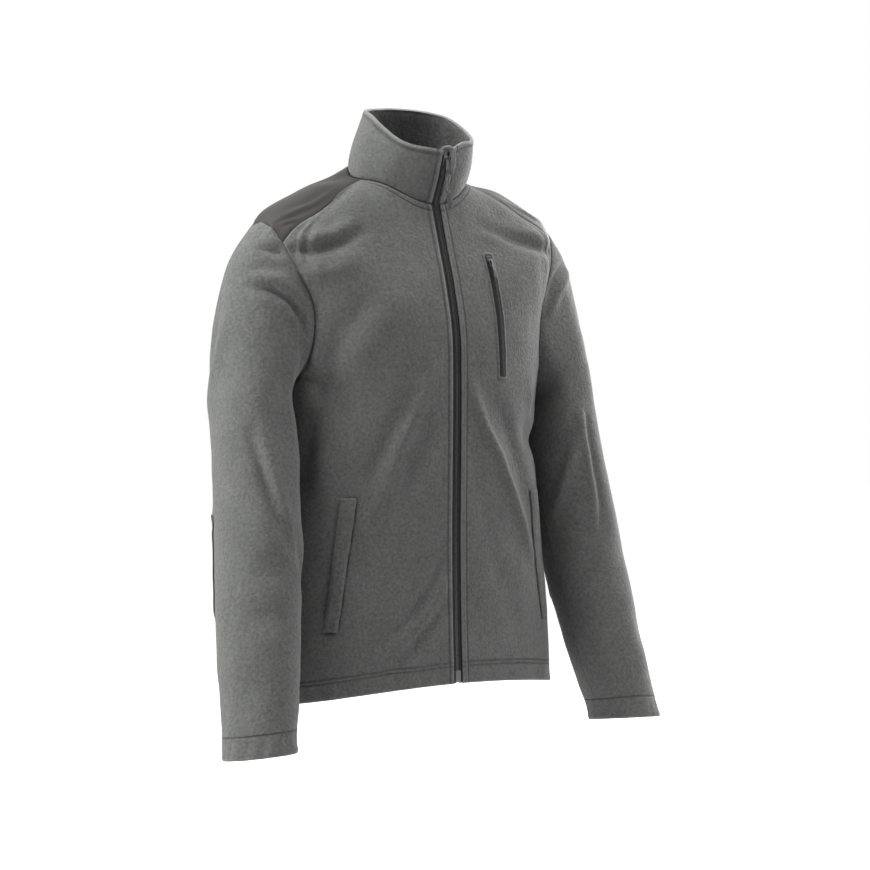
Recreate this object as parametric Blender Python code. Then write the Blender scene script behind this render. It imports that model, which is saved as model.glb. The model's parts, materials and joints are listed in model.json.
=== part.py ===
"""Zip-front fleece jacket with a stand-up collar, in the hollow form that it has when worn.

Frame: metres, +Z up, +X the wearer's left, -Y the front. The origin is the middle of the neck's
base, level with the highest points of the shoulders, where a neck and shoulders hold it up.
The body is a stack of rings from the neck seam to the hem; each piece of its cut is a grid of
points on those rings. The sleeves are rings along each arm, joined to the armholes by their caps.
"""

import math

import bmesh
import bpy
from mathutils import Matrix, Vector

# Cloth and seams
FLEECE = 0.0020  # one layer of fleece
HEM_WALL = 0.0034  # the turned-up hem and cuffs, two layers pressed together
COLLAR_WALL = 0.0040  # two layers of fleece
SEAM_GAP = 0.0003
LIFT = 0.0003  # what lies on a panel stands this far off it

# Places on the body: degrees round from the centre front, and shares from neck seam to hem
SHOULDER_SHARE = 0.198
ARMPIT_SHARE = 0.470
ARMHOLE_FRONT_DEG = 30
ARMHOLE_BACK_DEG = 25
ARMHOLE_SQUARE = 0.62
PATCH_NECK_DEG = (79, 122)  # the shoulder patch's corners on the neck seam, front and back
PATCH_BOW_DEG = 11  # how far the patch's front seam bows towards the chest
PATCH_ARM_TURN = (0.79, 1.23)  # and on the armhole, as shares of the half turn up from the armpit

# How many cells each stretch of a seam has, the same on both of its pieces
SIDE_CELLS = 14
ARMHOLE_CELLS = 8
PATCH_CELLS = 4
SHOULDER_CELLS = 6
NECK_FRONT_CELLS = 4
NECK_BACK_CELLS = 6
CAP_CELLS = 5
ARM_CELLS = 16
COLLAR_CELLS = 3
CAP_FULLNESS = 1.6  # how far the top of a sleeve's cap stands out sideways before it turns down
CAP_SLOPE = -0.45  # how it slopes as it does
GUSSET_FULLNESS = 2.0  # and how far its underarm does
TOP_TAPER = 5  # how soon below a piece's top edge its rows run straight
EVENED_ROWS = 4
EVENING_SWEEPS = 12

# Main zip
ZIP_HALF_SLOT = 0.0068  # from the centre front to each fleece edge
CHAIN_HALF_WIDTH = 0.00275
CHAIN_DEPTH = (0.0012, 0.0034)  # behind the fleece's face
TAPE_THICK = 0.0008
TAPE_CLEAR = 0.0004  # from the fleece's inner face to the tape
TAPE_REACH = 0.0162  # from the centre front to the tape's sewn edge, under the fleece
BOX_LENGTH = 0.0170
BOX_HALF_WIDTH = 0.0046
SLIDER_SHARE = 0.79  # of the collar's height

# Places on the fronts, as x across and z up
CHEST_ZIP = ((0.070, -0.113), (0.077, -0.271))
CHEST_TAPE_HALF_WIDTH = 0.0055
WELT = (((0.136, -0.424), (0.155, -0.424)), ((0.163, -0.595), (0.181, -0.595)))
WELT_THICK = 0.0030
CHEST_CELLS = 9
WELT_CELLS = 8

BODY_COLUMNS = (
    "share", "z_front", "z_side", "z_back", "half_width", "front", "back", "side_forward", "square",
)
BODY_ROWS = (
    (0.000, -0.052, 0.000, 0.020, 0.083, 0.0810, 0.053, 0.015, 2.00),  # neck seam
    (0.106, -0.097, -0.029, -0.030, 0.156, 0.0965, 0.083, 0.008, 2.00),
    (0.208, -0.150, -0.077, -0.090, 0.227, 0.1135, 0.106, 0.008, 2.20),  # shoulder points
    (0.342, -0.212, -0.175, -0.170, 0.204, 0.1275, 0.117, 0.010, 2.20),
    (0.470, -0.275, -0.277, -0.265, 0.195, 0.1300, 0.113, 0.012, 2.15),  # armpits
    (0.578, -0.355, -0.360, -0.355, 0.188, 0.1295, 0.100, 0.015, 2.10),
    (0.719, -0.462, -0.470, -0.470, 0.199, 0.1280, 0.088, 0.018, 2.10),  # waist
    (0.859, -0.565, -0.580, -0.580, 0.210, 0.1292, 0.097, 0.018, 2.15),
    (1.000, -0.668, -0.690, -0.690, 0.218, 0.1330, 0.110, 0.014, 2.15),  # hem
)

ARM_COLUMNS = ("share", "x", "forward", "z", "inner", "outer", "front", "back", "square")
ARM_ROWS = (
    (0.00, 0.232, 0.014, -0.300, 0.030, 0.057, 0.064, 0.065, 2.6),  # below the armpit
    (0.14, 0.239, 0.027, -0.362, 0.044, 0.056, 0.063, 0.064, 2.2),
    (0.38, 0.252, 0.050, -0.467, 0.051, 0.055, 0.061, 0.062, 2.0),
    (0.59, 0.265, 0.070, -0.562, 0.052, 0.053, 0.058, 0.060, 2.0),  # elbow
    (0.87, 0.282, 0.102, -0.687, 0.047, 0.048, 0.051, 0.052, 2.0),
    (0.945, 0.286, 0.110, -0.716, 0.043, 0.048, 0.050, 0.051, 2.0),  # the cuff's stitching
    (1.00, 0.289, 0.116, -0.739, 0.045, 0.048, 0.050, 0.050, 2.0),  # cuff
)
CUFF_LEVEL = (1.3, 0.45)  # how level the cuff's edge lies across and along: 0 is square to the arm
CUFF_LEVEL_FROM = 0.78  # the share of the arm below which the rings turn level

# How far the neck seam stands off its even curve, at shares of the half turn from front to back
NECK_RISE_ROWS = (
    (0.00, 0.0060),
    (0.22, 0.0030),
    (0.33, -0.0040),
    (0.44, -0.0115),  # the shoulder patch's front corner
    (0.56, -0.0085),
    (0.67, -0.0015),
    (1.00, 0.0000),
)
NECK_RISE_END = 0.106  # the share of the body at which the cloth is back on its even form

# The collar's rim: its middle forward of the origin, its half sizes, and its heights at shares of
# the turn from the centre front round the left; as worn, its right side is narrower, and lower in front
RIM_FORWARD = 0.040
RIM_HALF_WIDTH = {1: 0.0745, -1: 0.0695}
RIM_HALF_DEPTH = 0.069
RIM_ROWS = (
    (0.000, 0.0260),
    (0.028, 0.0295),
    (0.056, 0.0330),
    (0.111, 0.0370),
    (0.167, 0.0425),
    (0.222, 0.0510),
    (0.278, 0.0645),
    (0.333, 0.0760),
    (0.417, 0.0840),
    (0.500, 0.0855),
    (0.583, 0.0825),
    (0.653, 0.0795),
    (0.708, 0.0745),
    (0.750, 0.0670),
    (0.778, 0.0585),
    (0.806, 0.0490),
    (0.833, 0.0405),
    (0.889, 0.0290),
    (0.944, 0.0250),
    (1.000, 0.0260),
)
COLLAR_BULGE = 0.003

# The largest folds, as soft troughs (below zero) and ridges between two places on the cloth
FOLD_COLUMNS = ("from_deg", "from_share", "to_deg", "to_share", "half_width", "depth")
BODY_FOLDS = (
    (-76, 0.235, -36, 0.215, 0.014, -0.0035),  # under the right shoulder patch
    (80, 0.240, 40, 0.225, 0.016, -0.0030),
    (-62, 0.440, -40, 0.560, 0.024, -0.0060),  # right front, down from the armpit
    (64, 0.450, 42, 0.600, 0.022, -0.0050),
    (30, 0.560, 62, 0.760, 0.026, 0.0045),  # left front, slanting down to the side
    (-14, 0.930, -52, 0.800, 0.022, 0.0030),
    (122, 0.430, 150, 0.530, 0.024, -0.0055),
    (238, 0.440, 212, 0.550, 0.024, -0.0050),
    (140, 0.700, 222, 0.725, 0.030, -0.0050),  # small of the back
    (206, 0.640, 150, 0.665, 0.022, -0.0035),
)
ARM_FOLDS = {
    1: (
        (60, 0.44, 150, 0.52, 0.016, -0.0035),
        (50, 0.60, 140, 0.55, 0.016, -0.0040),
        (205, 0.08, 165, 0.24, 0.018, 0.0030),
        (100, 0.74, 190, 0.80, 0.016, -0.0025),
    ),
    -1: (
        (55, 0.47, 140, 0.54, 0.016, -0.0040),
        (70, 0.66, 150, 0.60, 0.015, -0.0030),
        (200, 0.05, 150, 0.20, 0.018, 0.0030),
        (90, 0.80, 170, 0.85, 0.016, -0.0025),
    ),
}
BODY_SCALE = (0.190, 0.780)  # metres for each radian round, and for the whole share
ARM_SCALE = (0.056, 0.460)

ELBOW_THICK = 0.0014
ELBOW_CORNER = 0.55  # how far its cut-off corners are drawn along its sides, in cells
ELBOW_ROWS = (10, 15)  # the elbow patch's first and last ring of the sleeve, and its columns
ELBOW_COLUMNS = (12, 17)

COLOURS = {
    "fleece": (0.115, 0.118, 0.114, 1.0),
    "woven": (0.070, 0.068, 0.066, 1.0),
    "zip_cloth": (0.022, 0.021, 0.024, 1.0),
    "zip_plastic": (0.016, 0.016, 0.017, 1.0),
    "metal": (0.060, 0.060, 0.062, 1.0),
}
ROUGHNESS = {"fleece": 0.95, "woven": 0.80, "zip_cloth": 0.85, "zip_plastic": 0.45, "metal": 0.40}


def named(columns, rows):
    """A table's rows, each value under its column's name."""
    return [dict(zip(columns, row)) for row in rows]


BODY = named(BODY_COLUMNS, BODY_ROWS)
ARM = named(ARM_COLUMNS, ARM_ROWS)
NECK_RISE = named(("share", "height"), NECK_RISE_ROWS)
RIM = named(("share", "height"), RIM_ROWS)


def between(table, at):
    """Every column at a share along a table, on smooth curves through its rows."""
    places = [row["share"] for row in table]
    last = len(places) - 1
    at = min(max(at, places[0]), places[last])
    i = max(j for j in range(last) if places[j] <= at)
    span = places[i + 1] - places[i]
    t = (at - places[i]) / span

    def slope(j, column):
        low, high = max(j - 1, 0), min(j + 1, last)
        return (table[high][column] - table[low][column]) / (places[high] - places[low])

    values = {}
    for column in table[0]:
        start, end = table[i][column], table[i + 1][column]
        rise = span * (slope(i, column) * (t - 2 * t**2 + t**3) + slope(i + 1, column) * (t**3 - t**2))
        values[column] = start + (end - start) * (3 * t**2 - 2 * t**3) + rise
    return values


def fold_height(folds, turn, share, scale):
    """How far the cloth stands out of its smooth form here, the sum of its soft folds."""
    height = 0.0
    for fold in folds:
        start = Vector((math.radians(fold["from_deg"]) * scale[0], fold["from_share"] * scale[1]))
        end = Vector((math.radians(fold["to_deg"]) * scale[0], fold["to_share"] * scale[1]))
        line = end - start
        for lap in (-1, 0, 1):
            here = Vector(((turn + lap * math.tau) * scale[0], share * scale[1])) - start
            along = here.dot(line) / line.length_squared
            if 0 < along < 1:
                aside = abs(here.x * line.y - here.y * line.x) / line.length
                taper = (4 * along * (1 - along)) ** 1.5
                height += fold["depth"] * taper * math.exp(-((aside / fold["half_width"]) ** 2))
    return height


def smooth_body(turn, share):
    """The body's smooth form, at an angle round from the centre front and a share down from the neck."""
    ring = between(BODY, share)
    sine, cosine = math.sin(turn), math.cos(turn)
    power = ring["square"]
    corner = (abs(sine) ** power + abs(cosine) ** power) ** (-1 / power)
    forward = cosine > 0
    reach = ring["front"] - ring["side_forward"] if forward else ring["back"] + ring["side_forward"]
    end = ring["z_front"] if forward else ring["z_back"]
    left = max(0.0, 1 - share / NECK_RISE_END)
    rise = between(NECK_RISE, math.acos(cosine) / math.pi)["height"] * left**2 * (3 - 2 * left)
    return Vector((
        ring["half_width"] * sine * corner,
        -(ring["side_forward"] + reach * cosine * corner),
        ring["z_side"] + (end - ring["z_side"]) * cosine**2 + rise,
    ))


def smooth_collar(turn, share):
    """The collar's smooth form, from the neck seam (0) to its rim (1)."""
    foot = smooth_body(turn, 0)
    sine, cosine = math.sin(turn), math.cos(turn)
    height = between(RIM, turn % math.tau / math.tau)["height"]
    half_width = RIM_HALF_WIDTH[1 if sine > 0 else -1]
    rim = Vector((half_width * sine, -(RIM_FORWARD + RIM_HALF_DEPTH * cosine), height))
    bulge = COLLAR_BULGE * math.sin(math.pi * share)
    return foot.lerp(rim, share) + Vector((sine, -cosine, 0)) * bulge


def on_form(form, turn, share, folds=(), scale=(1, 1)):
    """(the cloth's outer point, the outward direction) at a place on a smooth form."""
    step = 1e-3
    across = form(turn + step, share) - form(turn - step, share)
    low, high = max(share - step, 0), min(share + step, 1)
    down = form(turn, high) - form(turn, low)
    outward = down.cross(across).normalized()
    return form(turn, share) + outward * fold_height(folds, turn, share, scale), outward


BODY_FOLD_TABLE = named(FOLD_COLUMNS, BODY_FOLDS)


def on_body(turn, share):
    """(the body's outer point, the outward direction) here, folds and all."""
    return on_form(smooth_body, turn, share, BODY_FOLD_TABLE, BODY_SCALE)


def on_collar(turn, share):
    """(the collar's outer point, the outward direction) here."""
    point, inward = on_form(smooth_collar, turn, share)
    return point, -inward


def slot_turn(half_width):
    """The angle at which a ring of this half width reaches the zip's slot."""
    return math.asin(ZIP_HALF_SLOT / half_width)


def armhole(half_turn):
    """(angle, share) on the left armhole: armpit (0), up its front, shoulder (1), down its back (2)."""
    angle = math.pi * half_turn
    reach = ARMHOLE_FRONT_DEG if half_turn < 1 else -ARMHOLE_BACK_DEG
    turn = math.pi / 2 - math.radians(reach) * abs(math.sin(angle)) ** ARMHOLE_SQUARE
    middle = (ARMPIT_SHARE + SHOULDER_SHARE) / 2
    half = (ARMPIT_SHARE - SHOULDER_SHARE) / 2
    return turn, middle + half * math.cos(angle)


def evenly(path, start, end, cells):
    """Places on a path of (angle, share), evenly spaced over the body between two of its values."""
    fine = 60
    values = [start + (end - start) * i / fine for i in range(fine + 1)]
    points = [smooth_body(*path(value)) for value in values]
    run = [0.0]
    for a, b in zip(points, points[1:]):
        run.append(run[-1] + (b - a).length)
    places = []
    for i in range(cells + 1):
        target = run[-1] * i / cells
        j = min(max(k for k in range(fine + 1) if run[k] <= target + 1e-12), fine - 1)
        share = (target - run[j]) / (run[j + 1] - run[j])
        places.append(path(values[j] + (values[j + 1] - values[j]) * share))
    return places


def straight(start, end, bow=0.0):
    """The path from one (angle, share) to another, its middle this much less round from the front."""

    def path(t):
        turn = start[0] + (end[0] - start[0]) * t - 4 * bow * t * (1 - t)
        return turn, start[1] + (end[1] - start[1]) * t

    return path


def seams():
    """The seams of the left half, each a list of (angle, share), shared by the pieces on both its sides."""
    patch_front = (math.radians(PATCH_NECK_DEG[0]), 0.0)
    patch_back = (math.radians(PATCH_NECK_DEG[1]), 0.0)
    arm_front, arm_back = (armhole(turn) for turn in PATCH_ARM_TURN)
    side = math.pi / 2
    return {
        "side": evenly(straight((side, 1.0), (side, ARMPIT_SHARE)), 0, 1, SIDE_CELLS),
        "armhole_front": evenly(armhole, 0, PATCH_ARM_TURN[0], ARMHOLE_CELLS),
        "armhole_patch": evenly(armhole, *PATCH_ARM_TURN, PATCH_CELLS),
        "armhole_back": evenly(armhole, PATCH_ARM_TURN[1], 2, ARMHOLE_CELLS),
        "patch_front": evenly(
            straight(patch_front, arm_front, math.radians(PATCH_BOW_DEG)), 0, 1, SHOULDER_CELLS
        ),
        "patch_back": evenly(straight(patch_back, arm_back), 0, 1, SHOULDER_CELLS),
        "neck_front": evenly(
            straight((slot_turn(BODY[0]["half_width"]), 0.0), patch_front), 0, 1, NECK_FRONT_CELLS
        ),
        "neck_patch": evenly(straight(patch_front, patch_back), 0, 1, PATCH_CELLS),
        "neck_back": evenly(
            straight(patch_back, (math.tau - patch_back[0], 0.0)), 0, 1, NECK_BACK_CELLS
        ),
    }


def filled(bottom, top, left, right):
    """A grid of (angle, share) between four edges that meet at their ends, rows from bottom to top.

    Rows run straight from side to side and take up the top edge's shape only as they near it; the
    cells of the last rows are then evened out.
    """
    columns, rows = len(bottom) - 1, len(left) - 1
    grid = [list(bottom)]
    for j in range(1, rows + 1):
        t = j / rows
        line = []
        for i in range(columns + 1):
            s = i / columns
            place = []
            for axis in (0, 1):
                level = (1 - s) * left[j][axis] + s * right[j][axis]
                top_level = (1 - s) * top[0][axis] + s * top[-1][axis]
                place.append(level + (top[i][axis] - top_level) * t**TOP_TAPER)
            line.append(tuple(place))
        grid.append(line)
    for _ in range(EVENING_SWEEPS):
        for j in range(max(1, rows - EVENED_ROWS), rows):
            for i in range(1, columns):
                around = (grid[j - 1][i], grid[j + 1][i], grid[j][i - 1], grid[j][i + 1])
                grid[j][i] = tuple(sum(place[axis] for place in around) / 4 for axis in (0, 1))
    return grid


def drawn_in(line, outward, inside, closed=False):
    """The moves that clear a seam's line of points by half the seam gap, square to it, to its inside."""
    count = len(line)
    steps = []
    for i, here in enumerate(line):
        before = here - line[i - 1] if closed or i else Vector()
        after = line[(i + 1) % count] - here if closed or i < count - 1 else Vector()
        ways = [along.cross(outward[i]).normalized() for along in (before, after) if along.length > 0]
        whole = sum(ways, Vector())
        steps.append(whole * (len(ways) / whole.length_squared * SEAM_GAP / 2))
    turned = sum(step.dot(way) for step, way in zip(steps, inside))
    return steps if turned > 0 else [-step for step in steps]


def part_from_seams(points, outward, sewn):
    """Draws the sewn edges of a grid of points in by half the seam gap, square to each seam."""
    rows, columns = len(points), len(points[0])
    moved = [[point.copy() for point in row] for row in points]
    edges = {
        "bottom": [(0, c, 1, c) for c in range(columns)],
        "top": [(rows - 1, c, rows - 2, c) for c in range(columns)],
        "left": [(r, 0, r, 1) for r in range(rows)],
        "right": [(r, columns - 1, r, columns - 2) for r in range(rows)],
    }
    for name in sewn:
        line = [points[r][c] for r, c, _, _ in edges[name]]
        inside = [points[inner_r][inner_c] - points[r][c] for r, c, inner_r, inner_c in edges[name]]
        steps = drawn_in(line, [outward[r][c] for r, c, _, _ in edges[name]], inside)
        for (r, c, _, _), step in zip(edges[name], steps):
            moved[r][c] += step
    return moved


def new_object(name, mesh, material, location=(0, 0, 0)):
    """A named object of a bmesh's shape in its material, smooth apart from its hard edges."""
    bmesh.ops.recalc_face_normals(mesh, faces=mesh.faces)
    data = bpy.data.meshes.new(name)
    mesh.to_mesh(data)
    mesh.free()
    data.materials.append(MATERIALS[material])
    data.shade_smooth()
    data.set_sharp_from_angle(angle=math.radians(50))
    made = bpy.data.objects.new(name, data)
    made.location = location
    bpy.context.scene.collection.objects.link(made)
    return made


def cloth(name, outer, inner, material, all_round=False):
    """A sheet of cloth: a grid of outer points, extruded to its grid of inner points."""
    mesh = bmesh.new()
    place = mesh.verts.layers.int.new("place")
    columns = len(outer[0])
    corners = []
    for r, row in enumerate(outer):
        corners.append([mesh.verts.new(point) for point in row])
        for c, corner in enumerate(corners[r]):
            corner[place] = r * columns + c
    for r in range(len(outer) - 1):
        for c in range(columns if all_round else columns - 1):
            after = (c + 1) % columns
            mesh.faces.new((corners[r][c], corners[r][after], corners[r + 1][after], corners[r + 1][c]))
    made = bmesh.ops.extrude_face_region(mesh, geom=mesh.faces[:], use_keep_orig=True)
    for item in made["geom"]:
        if isinstance(item, bmesh.types.BMVert):
            r, c = divmod(item[place], columns)
            item.co = inner[r][c]
    return new_object(name, mesh, material)


def inner_points(outer, outward, walls):
    """The grid of points a wall's thickness inside another, with a thickness for each row."""
    return [
        [point - away * wall for point, away in zip(row, directions)]
        for row, directions, wall in zip(outer, outward, walls)
    ]


def body_piece(name, grid, material, sewn, hemmed):
    """A piece of the body cut to a grid of (angle, share); its first row may be a turned-up hem."""
    placed = [[on_body(*place) for place in row] for row in grid]
    outward = [[direction for _, direction in row] for row in placed]
    outer = part_from_seams([[point for point, _ in row] for row in placed], outward, sewn)
    walls = [HEM_WALL if hemmed and r < 2 else FLEECE for r in range(len(outer))]
    cloth(name, outer, inner_points(outer, outward, walls), material)
    return outer, outward


def mirrored(places):
    """The same places on the right half."""
    return [(-turn, share) for turn, share in places]


def front_grid(seam):
    """A front's grid, centre front first: hem, side seam, armhole, patch seam, neck."""
    outer_edge = seam["side"] + seam["armhole_front"][1:]
    top = seam["neck_front"] + seam["patch_front"][1:]
    side = outer_edge[0][0]
    centre = []
    for j in range(len(outer_edge)):
        if j <= SIDE_CELLS:
            share = 1 - (1 - ARMPIT_SHARE) * j / SIDE_CELLS
        else:
            share = ARMPIT_SHARE * (1 - (j - SIDE_CELLS) / ARMHOLE_CELLS)
        turn = math.copysign(slot_turn(between(BODY, share)["half_width"]), side)
        centre.append((turn, share))
    hem = evenly(straight(centre[0], outer_edge[0]), 0, 1, len(top) - 1)
    return filled(hem, top, centre, outer_edge)


def back_grid(seam):
    """The back's grid, from the left side seam round to the right one."""

    def round_to_right(places):
        return [(math.tau - turn, share) for turn, share in places]

    left = seam["side"] + seam["armhole_back"][-2::-1]
    right = round_to_right(left)
    top = seam["patch_back"][::-1] + seam["neck_back"][1:] + round_to_right(seam["patch_back"])[1:]
    hem = evenly(straight(left[0], right[0]), 0, 1, len(top) - 1)
    return filled(hem, top, left, right)


def patch_grid(seam):
    """A shoulder patch's grid, from its front seam to its back one, neck first."""
    return filled(seam["patch_front"], seam["patch_back"], seam["neck_patch"], seam["armhole_patch"])


def arm_ring(side, share):
    """(sizes, middle, outward from the body, forward, down) of the sleeve's ring at this share."""
    step = 0.01
    here, before, after = (between(ARM, share + d) for d in (0, -step, step))

    def middle(row):
        return Vector((side * row["x"], -row["forward"], row["z"]))

    down = (middle(after) - middle(before)).normalized()
    lateral = Vector((side, 0, 0))
    lateral = (lateral - down * lateral.dot(down)).normalized()
    forward = down.cross(lateral)
    if forward.y > 0:
        forward = -forward
    return here, middle(here), lateral, forward, down


def sleeve_form(side, turn, share):
    """The sleeve's smooth form, from the inside of the arm (0) round its front."""
    here, middle, lateral, forward, _ = arm_ring(side, share)
    turned = max(0.0, share - CUFF_LEVEL_FROM) / (1 - CUFF_LEVEL_FROM)
    lateral = lateral.lerp(Vector((side, 0, 0)), turned * CUFF_LEVEL[0]).normalized()
    forward = forward.lerp(Vector((0, -1, 0)), turned * CUFF_LEVEL[1]).normalized()
    sine, cosine = math.sin(turn), math.cos(turn)
    power = here["square"]
    corner = (abs(sine) ** power + abs(cosine) ** power) ** (-1 / power)
    inward = here["inner"] if cosine > 0 else here["outer"]
    ahead = here["front"] if sine > 0 else here["back"]
    return middle + (forward * ahead * sine - lateral * inward * cosine) * corner


def armhole_loop(side, seam):
    """(point, outward direction, step into the armhole) round the armhole, from the armpit up its front."""
    places = seam["armhole_front"][:-1] + seam["armhole_patch"][:-1] + seam["armhole_back"][:-1]
    placed = [on_body(side * turn, share) for turn, share in places]
    middle = sum((point for point, _ in placed), Vector()) / len(placed)
    line, outward = [point for point, _ in placed], [out for _, out in placed]
    steps = drawn_in(line, outward, [middle - point for point in line], closed=True)
    return list(zip(line, outward, steps))


def grid_outward(points, middles):
    """The outward direction at each point of a tube's grid: the sum of its cells' normals around it."""
    rows, columns = len(points), len(points[0])
    outward = [[Vector() for _ in row] for row in points]
    turned = 0.0
    for r in range(rows - 1):
        for c in range(columns):
            after = (c + 1) % columns
            normal = (points[r + 1][after] - points[r][c]).cross(points[r + 1][c] - points[r][after])
            turned += normal.dot(points[r][c] - middles[r])
            for corner_r, corner_c in ((r, c), (r, after), (r + 1, after), (r + 1, c)):
                outward[corner_r][corner_c] += normal
    sign = 1 if turned > 0 else -1
    return [[(direction * sign).normalized() for direction in row] for row in outward]


def sleeve(name, side, seam):
    """A sleeve: its cap, from the armhole to the ring below the armpit, then the rings down the arm."""
    loop = armhole_loop(side, seam)
    count = len(loop)
    run = [0.0]
    for i in range(count):
        run.append(run[-1] + (loop[(i + 1) % count][0] - loop[i][0]).length)
    turns = [math.tau * length / run[-1] for length in run[:-1]]
    folds = named(FOLD_COLUMNS, ARM_FOLDS[side])

    ring = [sleeve_form(side, turn, 0) for turn in turns]
    _, _, _, _, down = arm_ring(side, 0)
    rows = []
    for r in range(CAP_CELLS + 1):
        t = r / CAP_CELLS
        row = []
        for (point, body_outward, step), end in zip(loop, ring):
            start, into = point + step, step.normalized()
            chord = end - start
            aside = Vector((side, 0, CAP_SLOPE)) * max(0.0, -into.z) * CAP_FULLNESS
            aside += body_outward * max(0.0, into.z) * GUSSET_FULLNESS
            leave = (chord.normalized() + aside).normalized() * chord.length
            arrive = down * chord.length
            spot = start * (1 - 3 * t**2 + 2 * t**3) + end * (3 * t**2 - 2 * t**3)
            row.append(spot + leave * (t - 2 * t**2 + t**3) + arrive * (t**3 - t**2))
        rows.append(row)
    for r in range(1, ARM_CELLS + 1):
        share = r / ARM_CELLS
        rows.append([sleeve_form(side, turn, share) for turn in turns])

    middles = [sum(row, Vector()) / count for row in rows]
    outward = grid_outward(rows, middles)
    for r in range(CAP_CELLS, len(rows)):
        share = (r - CAP_CELLS) / ARM_CELLS
        for c, turn in enumerate(turns):
            rows[r][c] += outward[r][c] * fold_height(folds, turn, share, ARM_SCALE)
    for c, (_, body_outward, step) in enumerate(loop):
        into = step.normalized()
        leave = rows[1][c] - rows[0][c]
        rise, reach = leave.dot(body_outward), leave.dot(into)
        if rise < 0:
            outward[0][c] = body_outward
        else:
            outward[0][c] = (body_outward * reach - into * rise).normalized()
    walls = [HEM_WALL if r >= len(rows) - 2 else FLEECE for r in range(len(rows))]
    cloth(name, rows, inner_points(rows, outward, walls), "fleece", all_round=True)
    return rows, outward


def elbow_patch(name, rows, outward):
    """A patch on the back of the elbow, made from the sleeve's own points, moved out."""
    first, last = ELBOW_ROWS
    left, right = ELBOW_COLUMNS
    points, directions = [], []
    for r in range(first, last + 1):
        points.append([rows[r][c] for c in range(left, right + 1)])
        directions.append([outward[r][c] for c in range(left, right + 1)])
    for r, near in ((0, 1), (-1, -2)):
        for c in (0, -1):
            points[r][c] = points[r][c].lerp(points[near][c], ELBOW_CORNER)
    lifted = [[p + d * LIFT for p, d in zip(*pair)] for pair in zip(points, directions)]
    top = LIFT + ELBOW_THICK
    raised = [[p + d * top for p, d in zip(*pair)] for pair in zip(points, directions)]
    cloth(name, raised, lifted, "woven")


def collar(seam):
    """The stand-up collar, from the left of the zip round the neck to its right."""
    left = [place[0] for place in seam["neck_front"] + seam["neck_patch"][1:]]
    back = [place[0] for place in seam["neck_back"][1:-1]]
    turns = left + back + [math.tau - turn for turn in reversed(left)]
    outer, outward = [], []
    for r in range(COLLAR_CELLS + 1):
        share = r / COLLAR_CELLS
        slots = [turns[0] + (slot_turn(RIM_HALF_WIDTH[side]) - turns[0]) * share for side in (1, -1)]
        line = [slots[0]] + turns[1:-1] + [math.tau - slots[1]]
        placed = [on_collar(turn, share) for turn in line]
        outer.append([point for point, _ in placed])
        outward.append([direction for _, direction in placed])
        for c in (0, -1):
            outward[-1][c].x = 0
            outward[-1][c].normalize()
    outer = part_from_seams(outer, outward, ("bottom",))
    for c in (0, -1):
        outer[-1][c].z -= COLLAR_WALL
    walls = [COLLAR_WALL] * len(outer)
    cloth("collar", outer, inner_points(outer, outward, walls), "fleece")
    return outer, outward


def strip(name, sections, material):
    """A closed strip lofted through sections, each a loop of the same number of points."""
    mesh = bmesh.new()
    loops = [[mesh.verts.new(point) for point in section] for section in sections]
    count = len(loops[0])
    for before, after in zip(loops, loops[1:]):
        for i in range(count):
            mesh.faces.new((before[i], before[(i + 1) % count], after[(i + 1) % count], after[i]))
    mesh.faces.new(loops[0])
    mesh.faces.new(loops[-1])
    return new_object(name, mesh, material)


def zip_line(front, neck):
    """The centre front's rows from hem to collar rim: (edge, way to the side, out of the cloth)."""
    rows = [(row[0], row[1]) for row in front] + [(row[0], row[1]) for row in neck]
    line = []
    for i, (edge, beside) in enumerate(rows):
        low, high = rows[max(i - 1, 0)][0], rows[min(i + 1, len(rows) - 1)][0]
        up = (high - low).normalized()
        aside = (beside - edge).normalized()
        line.append((edge, aside, up))
    return line


def at_run(line, run):
    """The zip line's values this far up from the hem, measured along it."""
    gone = 0.0
    for (edge, aside, up), (next_edge, next_aside, next_up) in zip(line, line[1:]):
        length = (next_edge - edge).length
        if gone + length >= run:
            t = (run - gone) / length
            aside = aside.lerp(next_aside, t).normalized()
            up = up.lerp(next_up, t).normalized()
            return edge.lerp(next_edge, t), aside, up
        gone += length
    return line[-1]


def runs_of(line):
    """How far up the zip line each of its rows lies."""
    runs = [0.0]
    for before, after in zip(line, line[1:]):
        runs.append(runs[-1] + (after[0] - before[0]).length)
    return runs


def zip_section(line, run, near, far, depths, side=1):
    """A rectangle across the zip: from near to far off the centre front, between two depths."""
    edge, aside, up = at_run(line, run)
    out = up.cross(aside).normalized()
    if out.y > 0:
        out = -out
    corners = []
    for x, depth in ((near, depths[0]), (far, depths[0]), (far, depths[1]), (near, depths[1])):
        point = edge - out * depth
        point += aside * (x - point.x) / aside.x
        corners.append(Vector((point.x * side, point.y, point.z)))
    return corners


def middle_section(line, run, half_width, depths):
    """A rectangle across the zip, centred on the centre front, between two depths."""
    edge, _, up = at_run(line, run)
    out = Vector((0, up.z, -up.y)).normalized()
    if out.y > 0:
        out = -out
    middle = Vector((0, edge.y, edge.z))
    return [
        middle + Vector((x, 0, 0)) - out * depth
        for x, depth in (
            (-half_width, depths[0]),
            (half_width, depths[0]),
            (half_width, depths[1]),
            (-half_width, depths[1]),
        )
    ]


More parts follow.
